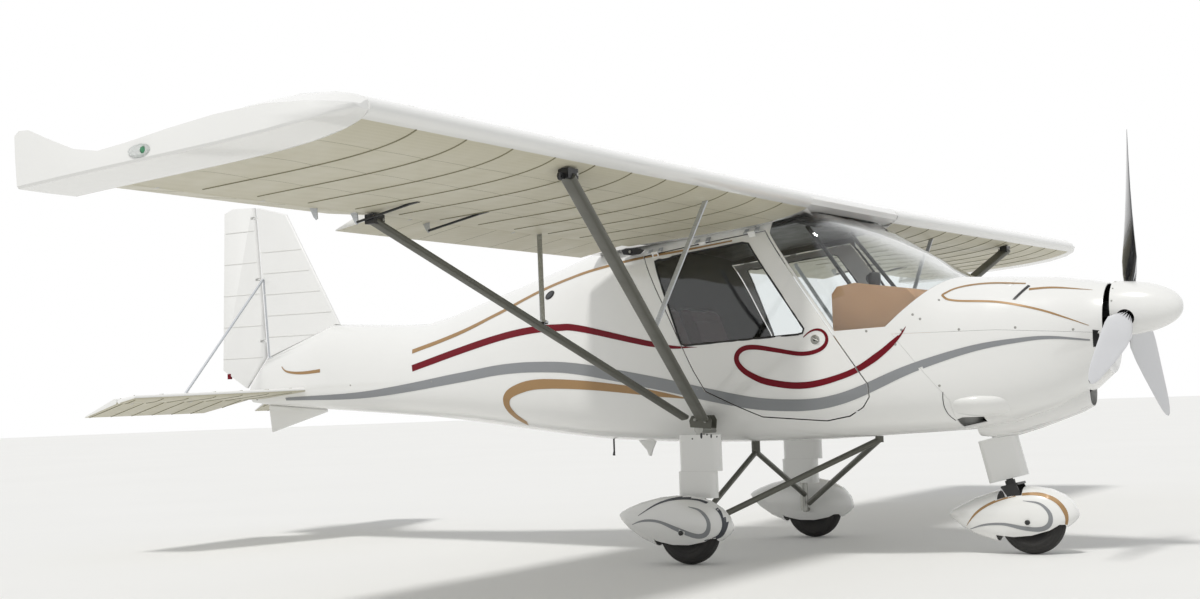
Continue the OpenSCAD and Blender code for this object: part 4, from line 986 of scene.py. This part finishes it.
    def execute(self, context):
        shell = surface_tree("fuselage_shell", "upper_cowl", "lower_cowl")
        doors = {s: surface_tree(f"door_{'left' if s > 0 else 'right'}") for s in (-1, 1)}
        gap = grown(DOOR, 0.0064)
        inner = grown(DOOR, -0.0006)
        for name, key, points, widths in self.LINES:
            quads = ribbon(points, widths)
            for s in (-1, 1):
                side = "left" if s > 0 else "right"
                side_paint(name, quads, key, {
                    "airframe": (shell, lambda q: split_by(gap, q)[1], s),
                    f"door_{side}": (doors[s], lambda q: [p for p in [split_by(inner, q)[0]] if p], s),
                })
        for group, node, body in (("main", "main_pants", "airframe"), ("nose", "nose_pant", BODY_OF["nose_pant"])):
            tree = surface_tree(node)
            for name, key, points, widths in self.SWIRLS[group]:
                for s in (-1, 1):
                    side_paint(
                        f"{group}_swirl_{name}", ribbon(points, widths, 0.008, 3), key, {body: (tree, lambda q: [q], s)}, 0.0012,
                        0.82 if group == "main" else 0.01,
                    )
        return {"FINISHED"}


class ULTRALIGHT_OT_seals(bpy.types.Operator):
    """Black seals round the panes, the latch, the filler cap and the outlet blisters"""

    bl_idname = "ultralight.seals"
    bl_label = "Seals and Openings"

    def execute(self, context):
        for s in (-1, 1):
            side = "left" if s > 0 else "right"
            tree = surface_tree(f"door_{side}", f"door_glass_{side}")
            loop = WINDOW + [WINDOW[0]]
            pts = []
            for a, b in zip(loop, loop[1:]):
                n = max(1, int(math.dist(a, b) / 0.03))
                pts += [(lerp(a[0], b[0], k / n), lerp(a[1], b[1], k / n)) for k in range(n)]
            path = []
            for x, z in pts:
                hit, normal, _, _ = tree.ray_cast(Vector((x, s * 1.5, z)), Vector((0, -s, 0)))
                if hit is None:
                    hit, normal, _, _ = tree.find_nearest(Vector((x, s * 0.615, z)))
                path.append(hit)
            edges = [(k, (k + 1) % len(path)) for k in range(len(path))]
            grow(f"window_seal_{side}", path, edges, "lines", {"Radius": 0.0055, "Material": MATERIALS["black_enamel"]}, f"door_{side}")
            y = -0.6165 * -s
            door = surface_tree(f"door_{side}")
            hit = door.ray_cast(Vector((1.434, s * 1.5, 1.128)), Vector((0, -s, 0)))[0] or Vector((1.434, s * 0.617, 1.128))
            lathe(f"latch_plate_{side}", hit, (0, s, 0), [(0.024, -0.002), (0.024, 0.002), (0.021, 0.0035), (0.001, 0.0035)], "zinc_steel", f"door_{side}")
            lathe(f"latch_barrel_{side}", hit + Vector((0, s * 0.003, 0)), (0, s, 0), [(0.008, 0), (0.008, 0.006), (0.005, 0.008), (0.001, 0.008)], "black_enamel", f"door_{side}", 20)
            tube(f"latch_lever_{side}", [hit + Vector((-0.006, s * 0.008, 0.004)), hit + Vector((0.012, s * 0.0095, -0.004)), hit + Vector((0.024, s * 0.008, -0.01))], [0.004, 0.0045, 0.003], "zinc_steel", f"door_{side}")
        shell = surface_tree("fuselage_shell")
        hit, normal, _, _ = shell.ray_cast(Vector((-0.262, -1.5, 1.46)), Vector((0, 1, 0)))
        n = body_normal(hit)
        lathe("filler_rim", hit, n, [(0.03, -0.004), (0.03, 0.004), (0.026, 0.006), (0.022, 0.003)], "black_enamel", "airframe", 28, (1.25, 0.8))
        lathe("filler_cap", hit, n, [(0.021, -0.002), (0.021, 0.004), (0.001, 0.0055)], "grey_dial", "airframe", 24, (1.25, 0.8))
        both(self.inlets)
        return {"FINISHED"}

    def inlets(self, s):
        side = "left" if s > 0 else "right"
        # Outlet blister on the lower cowl
        verts, faces = [], []
        nu, nv = 18, 9
        for i in range(nu + 1):
            u = i / nu
            x = lerp(2.05, 2.33, u)
            swell = math.sin(math.pi * min(u / 0.55, 1) / 2) if u < 0.55 else math.cos(math.pi * (u - 0.55) / 0.9) ** 0.8
            for j in range(nv + 1):
                a = math.pi * j / nv
                out = 0.05 * swell * math.sin(a) ** (1 if a < math.pi / 2 else 0.35)
                z = 0.768 + (0.05 if a < math.pi / 2 else 0.058) * math.cos(a) * (0.55 + 0.45 * swell)
                sec = section_at(x)
                rise = sec[3] - sec[2]
                inner = sec[1] * max(1 - (abs(z - sec[3]) / rise) ** sec[6], 0.02) ** (1 / sec[6])
                verts.append(Vector((x, s * (inner - 0.012 + out), z)))
        for i in range(nu):
            for j in range(nv):
                a = i * (nv + 1) + j
                faces.append([a, a + 1, a + nv + 2, a + nv + 1])
        piece(f"outlet_blister_{side}", verts, faces, "white_gelcoat", "airframe", sharp=50, recalc=True)


class ULTRALIGHT_OT_fasteners(bpy.types.Operator):
    """Screws along the cowl joints, the screen and the roots"""

    bl_idname = "ultralight.fasteners"
    bl_label = "Screws"

    def execute(self, context):
        sizes = context.scene.ultralight_sizes
        tree = surface_tree("fuselage_shell", "upper_cowl", "lower_cowl", "roof_fairing")
        spots, ways = [], []
        rows = [
            [(1.7, 1.158), (2.131, 1.148), (2.387, 1.146), (2.646, 1.125)],
            [(1.837, 1.086), (2.027, 0.873)], [(2.032, 1.3), (1.921, 1.231), (1.955, 1.208), (1.868, 1.157)],
            [(1.1, 1.735), (1.2, 1.745)], [(-1.9, 1.0), (-1.2, 1.0)],
        ]
        for row in rows:
            for x, z in row:
                for s in (-1, 1):
                    hit, normal, _, _ = tree.ray_cast(Vector((x, s * 1.5, z)), Vector((0, -s, 0)))
                    if hit:
                        spots.append(hit)
                        ways.append(normal if normal.y * s > 0 else -normal)
        grow("panel_screws", spots, [], "screws", {"Radius": sizes.screw, "Height": 0.0025, "Material": MATERIALS["zinc_steel"]}, "airframe", ways)
        for body, x, y in (("airframe", 0.774, 0.9), (BODY_OF["nose_pant"], 2.326, 0.1)):
            node = "main_pants" if body == "airframe" else "nose_pant"
            t = surface_tree(node)
            for s in (-1, 1):
                side = "left" if s > 0 else "right"
                where = Vector((x, s * (y + 0.004), 0.168))
                lathe(f"axle_cap_{node}_{side}", where, (0, s, 0), [(0.0125, -0.004), (0.0125, 0.003), (0.009, 0.006), (0.001, 0.0065)], "black_enamel", body, 24)
        return {"FINISHED"}


class ULTRALIGHT_OT_fittings(bpy.types.Operator):
    """Strut brackets, push rods, lights, antennas and the tail post"""

    bl_idname = "ultralight.fittings"
    bl_label = "Fittings"

    def execute(self, context):
        both(self.side)
        tube("belly_rod", [(-0.063, -0.1, 0.645), (-0.063, -0.1, 0.56), (-0.066, -0.1, 0.535)], [0.005, 0.005, 0.008], "black_enamel", "airframe")
        blade = [(0.10, 0.62), (0.22, 0.62), (0.19, 0.56), (0.182, 0.53), (0.165, 0.53), (0.155, 0.56)]
        verts = [Vector((x, -0.1 + dy, z)) for dy in (-0.006, 0.006) for x, z in blade]
        n = len(blade)
        faces = [[k, (k + 1) % n, n + (k + 1) % n, n + k] for k in range(n)] + [list(range(n - 1, -1, -1)), [n + k for k in range(n)]]
        o = piece("belly_blade", verts, faces, "white_gelcoat", "airframe", recalc=True)
        bevel = o.modifiers.new("soft", "BEVEL")
        bevel.width, bevel.segments = 0.004, 3
        tube("rudder_post", [(-2.7, 0, 1.19), (-2.735, 0, 1.72)], 0.0175, "drawn_aluminium", "airframe", 20)
        tube("radiator_core_back", [(2.60, 0, 0.812), (2.606, 0, 0.812)], 0.076, "stripe_silver", "airframe", 36)
        # Fins of the radiator seen in the duct mouth
        lines, edges = [], []
        for k in range(15):
            z = 0.75 + 0.125 * k / 14
            half = math.sqrt(max(0.0055 - (z - 0.812) ** 2, 0))
            if half > 0.01:
                edges.append((len(lines), len(lines) + 1))
                lines += [Vector((2.609, -half, z)), Vector((2.609, half, z))]
        grow("radiator_fins", lines, edges, "lines", {"Radius": 0.0016, "Material": MATERIALS["cast_aluminium"]}, "airframe")
        return {"FINISHED"}

    def side(self, s):
        side = "left" if s > 0 else "right"
        m = wing_matrix(s)
        flip_p = lambda p: Vector((p[0], p[1] * s, p[2]))
        # Lens of the tip light with its two lamps
        lens = m @ Vector((-0.78, SEAM_Y - ROOT_Y + 0.262, -0.005))
        lathe(f"tip_lens_{side}", lens, (0, s, 0.35), [(0.034, -0.004), (0.034, 0.006), (0.029, 0.018), (0.018, 0.027), (0.001, 0.031)], "clear_acrylic", "airframe", 28, (1.7, 0.8))
        lathe(f"tip_lamp_{side}", lens + Vector((0.02, s * 0.004, 0.002)), (0, s, 0.2), [(0.011, 0), (0.011, 0.008), (0.007, 0.016), (0.001, 0.018)], "red_lens" if s > 0 else "green_lens", "airframe", 20)
        lathe(f"tip_base_{side}", lens - Vector((0, s * 0.003, 0.001)), (0, s, 0.35), [(0.038, -0.006), (0.038, 0.001), (0.001, 0.0015)], "cast_aluminium", "airframe", 28, (1.6, 0.82))
        # Bracket that holds both struts to the fuselage
        foot = flip_p(STRUT_FOOT)
        plate = [(0.74, 0.70), (0.86, 0.69), (0.865, 0.735), (0.85, 0.76), (0.75, 0.76), (0.735, 0.735)]
        for k, y in enumerate((0.622, 0.683)):
            verts = [Vector((x, s * (y + dy), z)) for dy in (0, 0.005) for x, z in plate]
            n = len(plate)
            faces = [[i, (i + 1) % n, n + (i + 1) % n, n + i] for i in range(n)] + [list(range(n - 1, -1, -1)), [n + i for i in range(n)]]
            piece(f"strut_bracket_{side}_{k}", verts, faces, "olive_grey_tube", "airframe", recalc=True)
        tube(f"strut_bolt_{side}", [foot + Vector((0.03, -s * 0.028, 0.02)), foot + Vector((0.03, s * 0.044, 0.02))], 0.008, "zinc_steel", "airframe", 6)
        tube(f"strut_bolt_rear_{side}", [foot + Vector((-0.03, -s * 0.028, 0.03)), foot + Vector((-0.03, s * 0.044, 0.03))], 0.008, "zinc_steel", "airframe", 6)


class ULTRALIGHT_OT_tail(bpy.types.Operator):
    """Rib tapes of the tail surfaces and trim tabs"""

    bl_idname = "ultralight.tail"
    bl_label = "Tail Details"

    def execute(self, context):
        low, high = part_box("stabilisers")
        for node, x0, x1 in (("stabilisers", low[0], high[0]), ("elevators", *[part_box("elevators")[k][0] for k in (0, 1)])):
            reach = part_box(node)[1][1]
            rows = [s * lerp(0.2, reach - 0.05, k / 6) for s in (-1, 1) for k in range(7)]
            self.tapes(node, rows, (x0, x1), lambda x, y, s: Vector((x, y, s)), Vector((0, 0, 1)))
        for node, base, top in (("fins", 1.2, 1.9), ("rudder", 1.0, 2.05)):
            low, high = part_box(node)
            rows = [lerp(base, top, k / 5) for k in range(6)]
            self.tapes(node, rows, (low[0], high[0]), lambda x, z, s: Vector((x, s, z)), Vector((0, 1, 0)))
        both(self.tabs)
        return {"FINISHED"}

    def tapes(self, node, rows, run, place, way):
        """A raised tape over every rib of one surface, on both of its faces."""
        tree = surface_tree(node)
        lines, edges = [], []
        steps = 24
        for row in rows:
            for s in (-1, 1):
                was = None
                for k in range(steps + 1):
                    start = place(lerp(run[0] + 0.006, run[1] - 0.006, k / steps), row, 0) + way * (3 * s)
                    hit, normal, _, _ = tree.ray_cast(start, way * -s)
                    if hit is not None and abs(normal.dot(way)) > 0.7:
                        lines.append(hit + way * (s * 0.0004))
                        if was == k - 1:
                            edges.append((len(lines) - 2, len(lines) - 1))
                        was = k
        # Flat tail surfaces take the darker rib colour, painted shade; fin and rudder the pale tape
        values = {"Radius": 0.0028, "Material": MATERIALS["rib_tape" if way.z else "cloth_tape"]}
        grow(f"{node}_tapes", lines, edges, "lines", values, BODY_OF[node])

    def tabs(self, s):
        """Fixed tab bent on the trailing edge of the rudder, one thin plate a side."""
        side = "left" if s > 0 else "right"
        tree = surface_tree("rudder")
        verts = []
        for x, z in ((0.0, 1.075), (0.028, 1.075), (0.028, 1.11), (0.0, 1.11)):
            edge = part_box("rudder")[0][0]
            hit = tree.ray_cast(Vector((edge + x + 0.04, s, z)), Vector((0, -s, 0)))[0]
            verts.append((hit or Vector((edge + x + 0.04, s * 0.006, z))) + Vector((0, s * 0.0012, 0)))
        piece(f"rudder_tab_{side}", verts, [[0, 1, 2, 3]], "stripe_wine", BODY_OF["rudder"])


class ULTRALIGHT_OT_details(bpy.types.Operator):
    """Root cuffs, rods of the ailerons and flaps, strut bolts, sleeve slots, scoops and outlets"""

    bl_idname = "ultralight.details"
    bl_label = "Small Details"

    def execute(self, context):
        both(self.root_cuff)
        both(self.controls)
        both(self.strut_bolts)
        both(self.sleeve_slots)
        both(self.openings)
        return {"FINISHED"}

    def root_cuff(self, s):
        """Gelcoat strip that closes the gap between the roof and the root of the wing, with its screws."""
        side = "left" if s > 0 else "right"
        wing = wing_matrix(s)
        verts, faces, spots = [], [], []
        nx, nz = 24, 6
        for i in range(nx + 1):
            x = lerp(0.98, 1.41, i / nx)
            share = (WING_LE.x - x) / (CHORD * math.cos(math.radians(INCIDENCE)))
            top = wing @ Vector((-share * CHORD, 0.004, foil(max(share, 0.0))[1] + 0.006))
            half, mid, rise, power = section_at(x)[1], section_at(x)[3], section_at(x)[4] - section_at(x)[3], section_at(x)[5]
            y = lerp(0.548, 0.5, (i / nx) ** 3)
            z = mid + rise * (1 - (y / half) ** power) ** (1 / power)
            foot = Vector((x, s * (y + 0.006), z + 0.002))
            for j in range(nz + 1):
                u = j / nz
                p = foot.lerp(top, u)
                p.y += s * 0.012 * math.sin(math.pi * u)
                verts.append(p)
                if j == nz // 2 and i in (4, 10, 16, 22):
                    spots.append(p + Vector((0, s * 0.001, 0)))
        for i in range(nx):
            for j in range(nz):
                a = i * (nz + 1) + j
                faces.append([a, a + 1, a + nz + 2, a + nz + 1])
        o = piece(f"root_cuff_{side}", verts, faces, "white_gelcoat", "airframe", sharp=60)
        for f in o.data.polygons:
            if f.normal.y * s < 0:
                f.flip()
        ways = [Vector((0, s, -0.4))] * len(spots)
        grow(f"root_screws_{side}", spots, [], "screws", {"Radius": 0.006, "Height": 0.0025, "Material": MATERIALS["zinc_steel"]}, "airframe", ways)

    def controls(self, s):
        """Hinge brackets, push rods, and the black fitting at the rear of the root."""
        side = "left" if s > 0 else "right"
        wing = wing_matrix(s)
        nose = -REAR_FACE * CHORD
        for k, (y, moving) in enumerate(((2.9, "aileron"), (3.17, "aileron"), (2.38, "flap"))):
            body = f"{moving}_{side}"
            mid = wing @ Vector((-FLAP_AXIS - 0.006, y - ROOT_Y, FLAP_MID - FLAP_NOSE + 0.004))
            horn = [(-0.034, 0.0), (0.004, 0.0), (0.006, -0.046), (-0.002, -0.052), (-0.014, -0.04)]
            verts = [mid + Vector((x, dy, z)) for dy in (-0.0025, 0.0025) for x, z in horn]
            n = len(horn)
            faces = [[i, (i + 1) % n, n + (i + 1) % n, n + i] for i in range(n)]
            faces += [list(range(n - 1, -1, -1)), [n + i for i in range(n)]]
            piece(f"horn_{side}_{k}", verts, faces, "drawn_aluminium", body, recalc=True)
            eye = mid + Vector((0.004, s * 0.006, -0.042))
            if k == 1:
                continue
            top = wing @ Vector((nose + 0.26, y - ROOT_Y + 0.008, foil((-nose - 0.26) / CHORD)[1] + 0.004))
            path = [eye.lerp(top, i / 12) for i in range(13)]
            rod = tube(f"push_rod_{side}_{k}", path, 0.0055, "black_enamel", "airframe", 10)
            rod.parent = None
            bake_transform(rod)
            tube(f"rod_mouth_{side}_{k}", [top + Vector((-0.02, 0, -0.004)), top + Vector((0.03, 0, 0.0035))], 0.013, "black_enamel", "airframe", 14, 0.35)
        root = Vector((0.352, s * 0.553, 1.655))
        outline = [(-0.06, 0.012), (-0.03, 0.022), (0.045, 0.02), (0.075, 0.004), (0.05, -0.014), (0.0, -0.02), (-0.045, -0.012)]
        verts = [root + Vector((x, dy * s, z)) for dy in (-0.012, 0.014) for x, z in outline]
        n = len(outline)
        faces = [[i, (i + 1) % n, n + (i + 1) % n, n + i] for i in range(n)]
        faces += [list(range(n - 1, -1, -1)), [n + i for i in range(n)]]
        o = piece(f"root_fitting_{side}", verts, faces, "black_enamel", "airframe", recalc=True)
        soft = o.modifiers.new("soft", "BEVEL")
        soft.width, soft.segments = 0.003, 2
        tube(f"root_bolt_{side}", [root + Vector((0.0, -s * 0.016, 0)), root + Vector((0, s * 0.022, 0))], 0.008, "zinc_steel", "airframe", 6)

    def strut_bolts(self, s):
        """Bolts through the fittings at both strut tops and the clamps at the feet of the jury struts."""
        side = "left" if s > 0 else "right"
        low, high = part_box("strut_fittings")
        tops = (("front", Vector((1.363, s * 2.87, 1.77))), ("rear", Vector((0.386, s * 2.87, 1.666))))
        for name, top in tops:
            for k, (dx, dy) in enumerate(((-0.012, -0.028), (0.012, -0.028), (0.0, 0.012))):
                head = top + Vector((dx, s * dy, 0.004))
                tube(f"{name}_bolt_{side}_{k}", [head + Vector((-0.029 if dx <= 0 else 0.02, 0, 0)), head + Vector((0.0 if dx <= 0 else 0.0225, 0, 0))], 0.0065, "zinc_steel", "airframe", 6)
            strut = (top - Vector((STRUT_FOOT.x, s * STRUT_FOOT.y, STRUT_FOOT.z)))
            share = (1.614 - STRUT_FOOT.y) / (2.87 - STRUT_FOOT.y) if name == "front" else (1.842 - STRUT_FOOT.y) / (2.87 - STRUT_FOOT.y)
            at = Vector((STRUT_FOOT.x, s * STRUT_FOOT.y, STRUT_FOOT.z)) + strut * share
            along = strut.normalized()
            up = Vector((0, 0, 1)) - along * along.z
            base = at + up.normalized() * 0.017
            lathe(f"{name}_clamp_{side}", base, up, [(0.019, -0.004), (0.019, 0.006), (0.012, 0.011), (0.001, 0.012)], "drawn_aluminium", "airframe", 20, (1.3, 0.8))

    def sleeve_slots(self, s):
        """Dark discs at the top of the leg sleeve, painted shade for its slots."""
        side = "left" if s > 0 else "right"
        tree = surface_tree("leg_sleeves")
        # Black discs: painted shade where the slots open into the sleeve
        for k, (x, z, r) in enumerate(((0.752, 0.64, 0.0045), (0.805, 0.655, 0.0065), (0.838, 0.66, 0.0045), (0.862, 0.652, 0.0045), (0.888, 0.648, 0.0045))):
            hit = tree.ray_cast(Vector((x, s * 1.5, z)), Vector((0, -s, 0)))[0]
            if hit is None:
                continue
            tall = 2.4 if k in (1, 3) else 1
            lathe(f"sleeve_slot_{side}_{k}", hit, (0, s, 0), [(r, -0.003), (r, 0.0006), (r * 0.6, 0.0008), (0.0004, 0.0008)], "black_enamel", "airframe", 16, (1, tall) if s < 0 else (1, tall))

    def openings(self, s):
        """Black patches on the cowl, painted shade for the slot of the cooling scoop and the inlet by the spinner; the
        black lip of the cowl and the screws under the outlet blister.
        """
        side = "left" if s > 0 else "right"
        tree = surface_tree("upper_cowl", "lower_cowl")
        # Black film laid on the cowl: painted shade standing for openings that are not cut
        spots = {
            "scoop_slot": ([(2.366, 1.286), (2.38, 1.284), (2.434, 1.352), (2.42, 1.358)], 0.002),
            "nose_inlet": ([(2.728, 1.035), (2.756, 1.04), (2.758, 1.115), (2.73, 1.12)], 0.0016),
        }
        for name, (corners, lift) in spots.items():
            verts, faces, n = [], [], 8
            a, b, c, d = [Vector(p) for p in corners]
            for i in range(n + 1):
                for j in range(n + 1):
                    p = a.lerp(b, i / n).lerp(d.lerp(c, i / n), j / n)
                    hit, normal, _, _ = tree.ray_cast(Vector((p.x, s * 1.5, p.y)), Vector((0, -s, 0)))
                    if hit is None:
                        hit, normal = Vector((p.x, s * 0.2, p.y)), Vector((0, s, 0))
                    verts.append(hit + (normal if normal.y * s > 0 else -normal) * lift)
            for i in range(n):
                for j in range(n):
                    q = i * (n + 1) + j
                    faces.append([q, q + 1, q + n + 2, q + n + 1])
            o = piece(f"{name}_{side}", verts, faces, "black_enamel", "airframe", sharp=60)
            for f in o.data.polygons:
                if f.normal.y * s < 0:
                    f.flip()
        lip = resample([(2.038, 0.84), (2.03, 0.78), (2.034, 0.735), (2.05, 0.7), (2.075, 0.68)], 0.01)
        skins = surface_tree("fuselage_shell", "upper_cowl", "lower_cowl")
        hits = [skins.ray_cast(Vector((p.x, s * 1.5, p.y)), Vector((0, -s, 0)))[0] for p in lip]
        hits = [h for h in hits if h is not None and h.y * s > 0.1]
        edges = [(k, k + 1) for k in range(len(hits) - 1)]
        grow(f"cowl_lip_{side}", hits, edges, "lines", {"Radius": 0.0022, "Material": MATERIALS["black_enamel"]}, "airframe")
        for k, (x, y, z) in enumerate(((2.2, 0.352, 0.757), (2.19, 0.33, 0.724), (2.18, 0.315, 0.70))):
            hit = tree.ray_cast(Vector((x, s * 1.5, z)), Vector((0, -s, 0)))[0]
            if hit is not None and k:
                lathe(f"outlet_screw_{side}_{k}", hit, (0, s, -0.5), [(0.0055, -0.003), (0.0055, 0.002), (0.001, 0.003)], "black_enamel", "airframe", 14)


class ULTRALIGHT_OT_cabin(bpy.types.Operator):
    """Frame tubes, head lining, dials and compass behind the glass"""

    bl_idname = "ultralight.cabin"
    bl_label = "Cabin"

    def execute(self, context):
        for s in (-1, 1):
            side = "left" if s > 0 else "right"
            tube(f"screen_tube_{side}", [(1.28, s * 0.3, 1.74), (1.4, s * 0.31, 1.58), (1.52, s * 0.33, 1.415)], 0.011, "black_enamel", "airframe", 16)
        # Padded head lining under the roof
        verts, faces = [], []
        for i in range(9):
            x = lerp(0.45, 1.42, i / 8)
            for j in range(13):
                y = lerp(-0.5, 0.5, j / 12)
                sec = section_at(x)
                verts.append(Vector((x, y, sec[4] - 0.035 - 0.5 * y * y * 0.2 - (0.012 if i in (0, 8) else 0))))
        for i in range(8):
            for j in range(12):
                a = i * 13 + j
                faces.append([a, a + 1, a + 14, a + 13])
        o = piece("head_lining", verts, faces, "black_enamel", "airframe", recalc=True)
        wall = o.modifiers.new("wall", "SOLIDIFY")
        wall.thickness = 0.012
        wall.offset = 0
        for k, y in enumerate((-0.3, -0.17, -0.04, 0.09, 0.22, 0.33)):
            lathe(f"dial_bezel_{k}", (1.583, y, 1.22), (-1, 0, 0), [(0.046, -0.004), (0.046, 0.006), (0.041, 0.01), (0.038, 0.005)], "black_enamel", "airframe", 28)
            lathe(f"dial_face_{k}", (1.581, y, 1.22), (-1, 0, 0), [(0.037, -0.002), (0.037, 0.004), (0.001, 0.0042)], "grey_dial", "airframe", 28)
            tube(f"dial_needle_{k}", [(1.5755, y, 1.22), (1.5752, y + 0.02 * math.cos(k), 1.22 + 0.026)], 0.0014, "propeller_face", "airframe", 6)
        lathe("compass_case", (1.52, 0.02, 1.445), (0, 0, 1), [(0.03, -0.035), (0.034, 0.0), (0.034, 0.03), (0.026, 0.045), (0.001, 0.048)], "black_enamel", "airframe", 28)
        lathe("compass_glass", (1.486, 0.02, 1.46), (-1, 0, 0), [(0.022, -0.002), (0.022, 0.004), (0.012, 0.01), (0.001, 0.012)], "grey_dial", "airframe", 24)
        return {"FINISHED"}


class ULTRALIGHT_OT_seats(bpy.types.Operator):
    """Seat cushions and backs, swelled as stuffed cloth"""

    bl_idname = "ultralight.seats"
    bl_label = "Seats"

    def execute(self, context):
        sizes = context.scene.ultralight_sizes
        for s, side in ((-1, "right"), (1, "left")):
            seat = self.pad(f"seat_cushion_{side}", Vector((0.7845, s * 0.253, 0.852)), (0.43, 0.45, 0.082), 0, sizes, s)
            turn = math.radians(-20)
            low = Vector((0.47, 0, 0.7925)) + Matrix.Rotation(turn, 3, "Y") @ Vector((0.0425, 0, 0.33))
            back = self.pad(f"seat_back_{side}", Vector((low.x, s * 0.253, low.z)), (0.07, 0.45, 0.53), turn, sizes, s)
            if s > 0:
                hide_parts("seat_cushions")
                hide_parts("seat_backs")
        return {"FINISHED"}

    def pad(self, name, centre, size, turn, sizes, s):
        """A crowned block, remeshed fine, swelled by cloth pressure and capped."""
        bm = bmesh.new()
        bmesh.ops.create_cube(bm, size=1)
        bmesh.ops.subdivide_edges(bm, edges=bm.edges, cuts=5, use_grid_fill=True)
        for v in bm.verts:
            u = Vector((v.co.x * 2, v.co.y * 2, v.co.z * 2))
            pull = 1 - 0.05 * (abs(u.y) ** 4) * (1 - u.x ** 2 if size[0] > 0.2 else 1 - u.z ** 2)
            crown = 1 + 0.12 * (1 - u.y ** 2)
            thin = 0 if size[0] < 0.2 else 2
            v.co = Vector((u.x * size[0] / 2, u.y * size[1] / 2, u.z * size[2] / 2)) * 0.985
            v.co[thin] *= crown
            v.co[2 - thin] *= pull
        mesh = bpy.data.meshes.new(name)
        bm.to_mesh(mesh)
        bm.free()
        o = bpy.data.objects.new(name, mesh)
        bpy.context.scene.collection.objects.link(o)
        bpy.context.view_layer.objects.active = o
        for mod in ((("SUBSURF", {"levels": 2, "render_levels": 2}),) + ((("REMESH", {"mode": "VOXEL", "voxel_size": 0.006}),))):
            m = o.modifiers.new(mod[0], mod[0])
            for k, v in mod[1].items():
                setattr(m, k, v)
        self.bake(o)
        rest = [v.co.copy() for v in o.data.vertices]
        cloth = o.modifiers.new("cloth", "CLOTH")
        st = cloth.settings
        st.use_pressure, st.uniform_pressure_force = True, 4.0
        st.effector_weights.gravity = 0
        st.quality = 4
        st.tension_stiffness = st.compression_stiffness = 18
        cloth.collision_settings.use_collision = False
        scene = bpy.context.scene
        cloth.point_cache.frame_start, cloth.point_cache.frame_end = 1, 20
        for f in range(1, 21):
            scene.frame_set(f)
        self.bake(o)
        scene.frame_set(1)
        flat = -size[2] / 2
        for v, r in zip(o.data.vertices, rest):
            d = v.co - r
            if d.length > sizes.puff:
                d *= sizes.puff / d.length
            v.co = r + d
            if turn == 0:
                v.co.z = max(v.co.z, flat - 0.002)
        self.channels(o, size, turn)
        mod = o.modifiers.new("smooth", "SUBSURF")
        mod.levels = mod.render_levels = 1
        self.bake(o)
        place = Matrix.Translation(centre) @ Matrix.Rotation(turn, 4, "Y")
        o.data.transform(place)
        o.data.materials.append(MATERIALS["wine_upholstery"])
        o.data.shade_smooth()
        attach(o, "airframe")
        self.piping(name, size, place)
        return o

    def bake(self, o):
        dg = bpy.context.evaluated_depsgraph_get()
        new = bpy.data.meshes.new_from_object(o.evaluated_get(dg))
        o.modifiers.clear()
        o.data = new

    def channels(self, o, size, turn):
        """Sewn channels pressed in after the swelling."""
        long = 2 if turn else 0
        thin = 0 if turn else 2
        for v in o.data.vertices:
            for k in (-0.5, 0, 0.5):
                d = (v.co[long] - k * size[long] * 0.62) / 0.008
                if abs(v.co.y) < size[1] * 0.44 and v.co[thin] > 0:
                    v.co[thin] -= 0.006 * math.exp(-d * d)
            w = abs(v.co.y) - size[1] * 0.44
            if abs(w) < 0.02 and v.co[thin] > 0:
                v.co[thin] -= 0.005 * math.exp(-((w / 0.007) ** 2))

    def piping(self, name, size, place):
        """Welt sewn round the edge of the pad."""
        turn = size[0] < 0.2
        a, b = (size[1] / 2, size[2] / 2) if turn else (size[0] / 2, size[1] / 2)
        ring = []
        for k in range(96):
            t = 2 * math.pi * k / 96
            c, q = math.cos(t), math.sin(t)
            p = (abs(c) ** 0.32 * math.copysign(a, c), abs(q) ** 0.32 * math.copysign(b, q))
            ring.append(place @ (Vector((0, p[0], p[1])) if turn else Vector((p[0], p[1], 0))))
        edges = [(k, (k + 1) % 96) for k in range(96)]
        grow(name.replace("seat", "welt"), ring, edges, "lines", {"Radius": 0.005, "Material": MATERIALS["black_enamel"]}, "airframe")


class ULTRALIGHT_PT_panel(bpy.types.Panel):
    """Lists every step of the dressing"""

    bl_idname = "ULTRALIGHT_PT_panel"
    bl_label = "High-Wing Ultralight"
    bl_space_type = "VIEW_3D"
    bl_region_type = "UI"
    bl_category = "Ultralight"

    def draw(self, context):
        for group in (context.scene.ultralight_paint, context.scene.ultralight_sizes):
            for key in group.__annotations__:
                self.layout.prop(group, key)
        for op in STEPS:
            self.layout.operator(op.bl_idname)


STEPS = (
    ULTRALIGHT_OT_stage,
    ULTRALIGHT_OT_fuselage,
    ULTRALIGHT_OT_propeller,
    ULTRALIGHT_OT_wings,
    ULTRALIGHT_OT_stripes,
    ULTRALIGHT_OT_seals,
    ULTRALIGHT_OT_fasteners,
    ULTRALIGHT_OT_fittings,
    ULTRALIGHT_OT_tail,
    ULTRALIGHT_OT_details,
    ULTRALIGHT_OT_cabin,
    ULTRALIGHT_OT_seats,
)
CLASSES = (UltralightPaint, UltralightSizes, *STEPS, ULTRALIGHT_PT_panel)


def register():
    for cls in CLASSES:
        bpy.utils.register_class(cls)
    bpy.types.Scene.ultralight_paint = PointerProperty(type=UltralightPaint)
    bpy.types.Scene.ultralight_sizes = PointerProperty(type=UltralightSizes)


def unregister():
    del bpy.types.Scene.ultralight_sizes
    del bpy.types.Scene.ultralight_paint
    for cls in reversed(CLASSES):
        bpy.utils.unregister_class(cls)


def main():
    register()
    for step in STEPS:
        group, name = step.bl_idname.split(".")
        getattr(getattr(bpy.ops, group), name)()


if __name__ == "__main__":
    main()
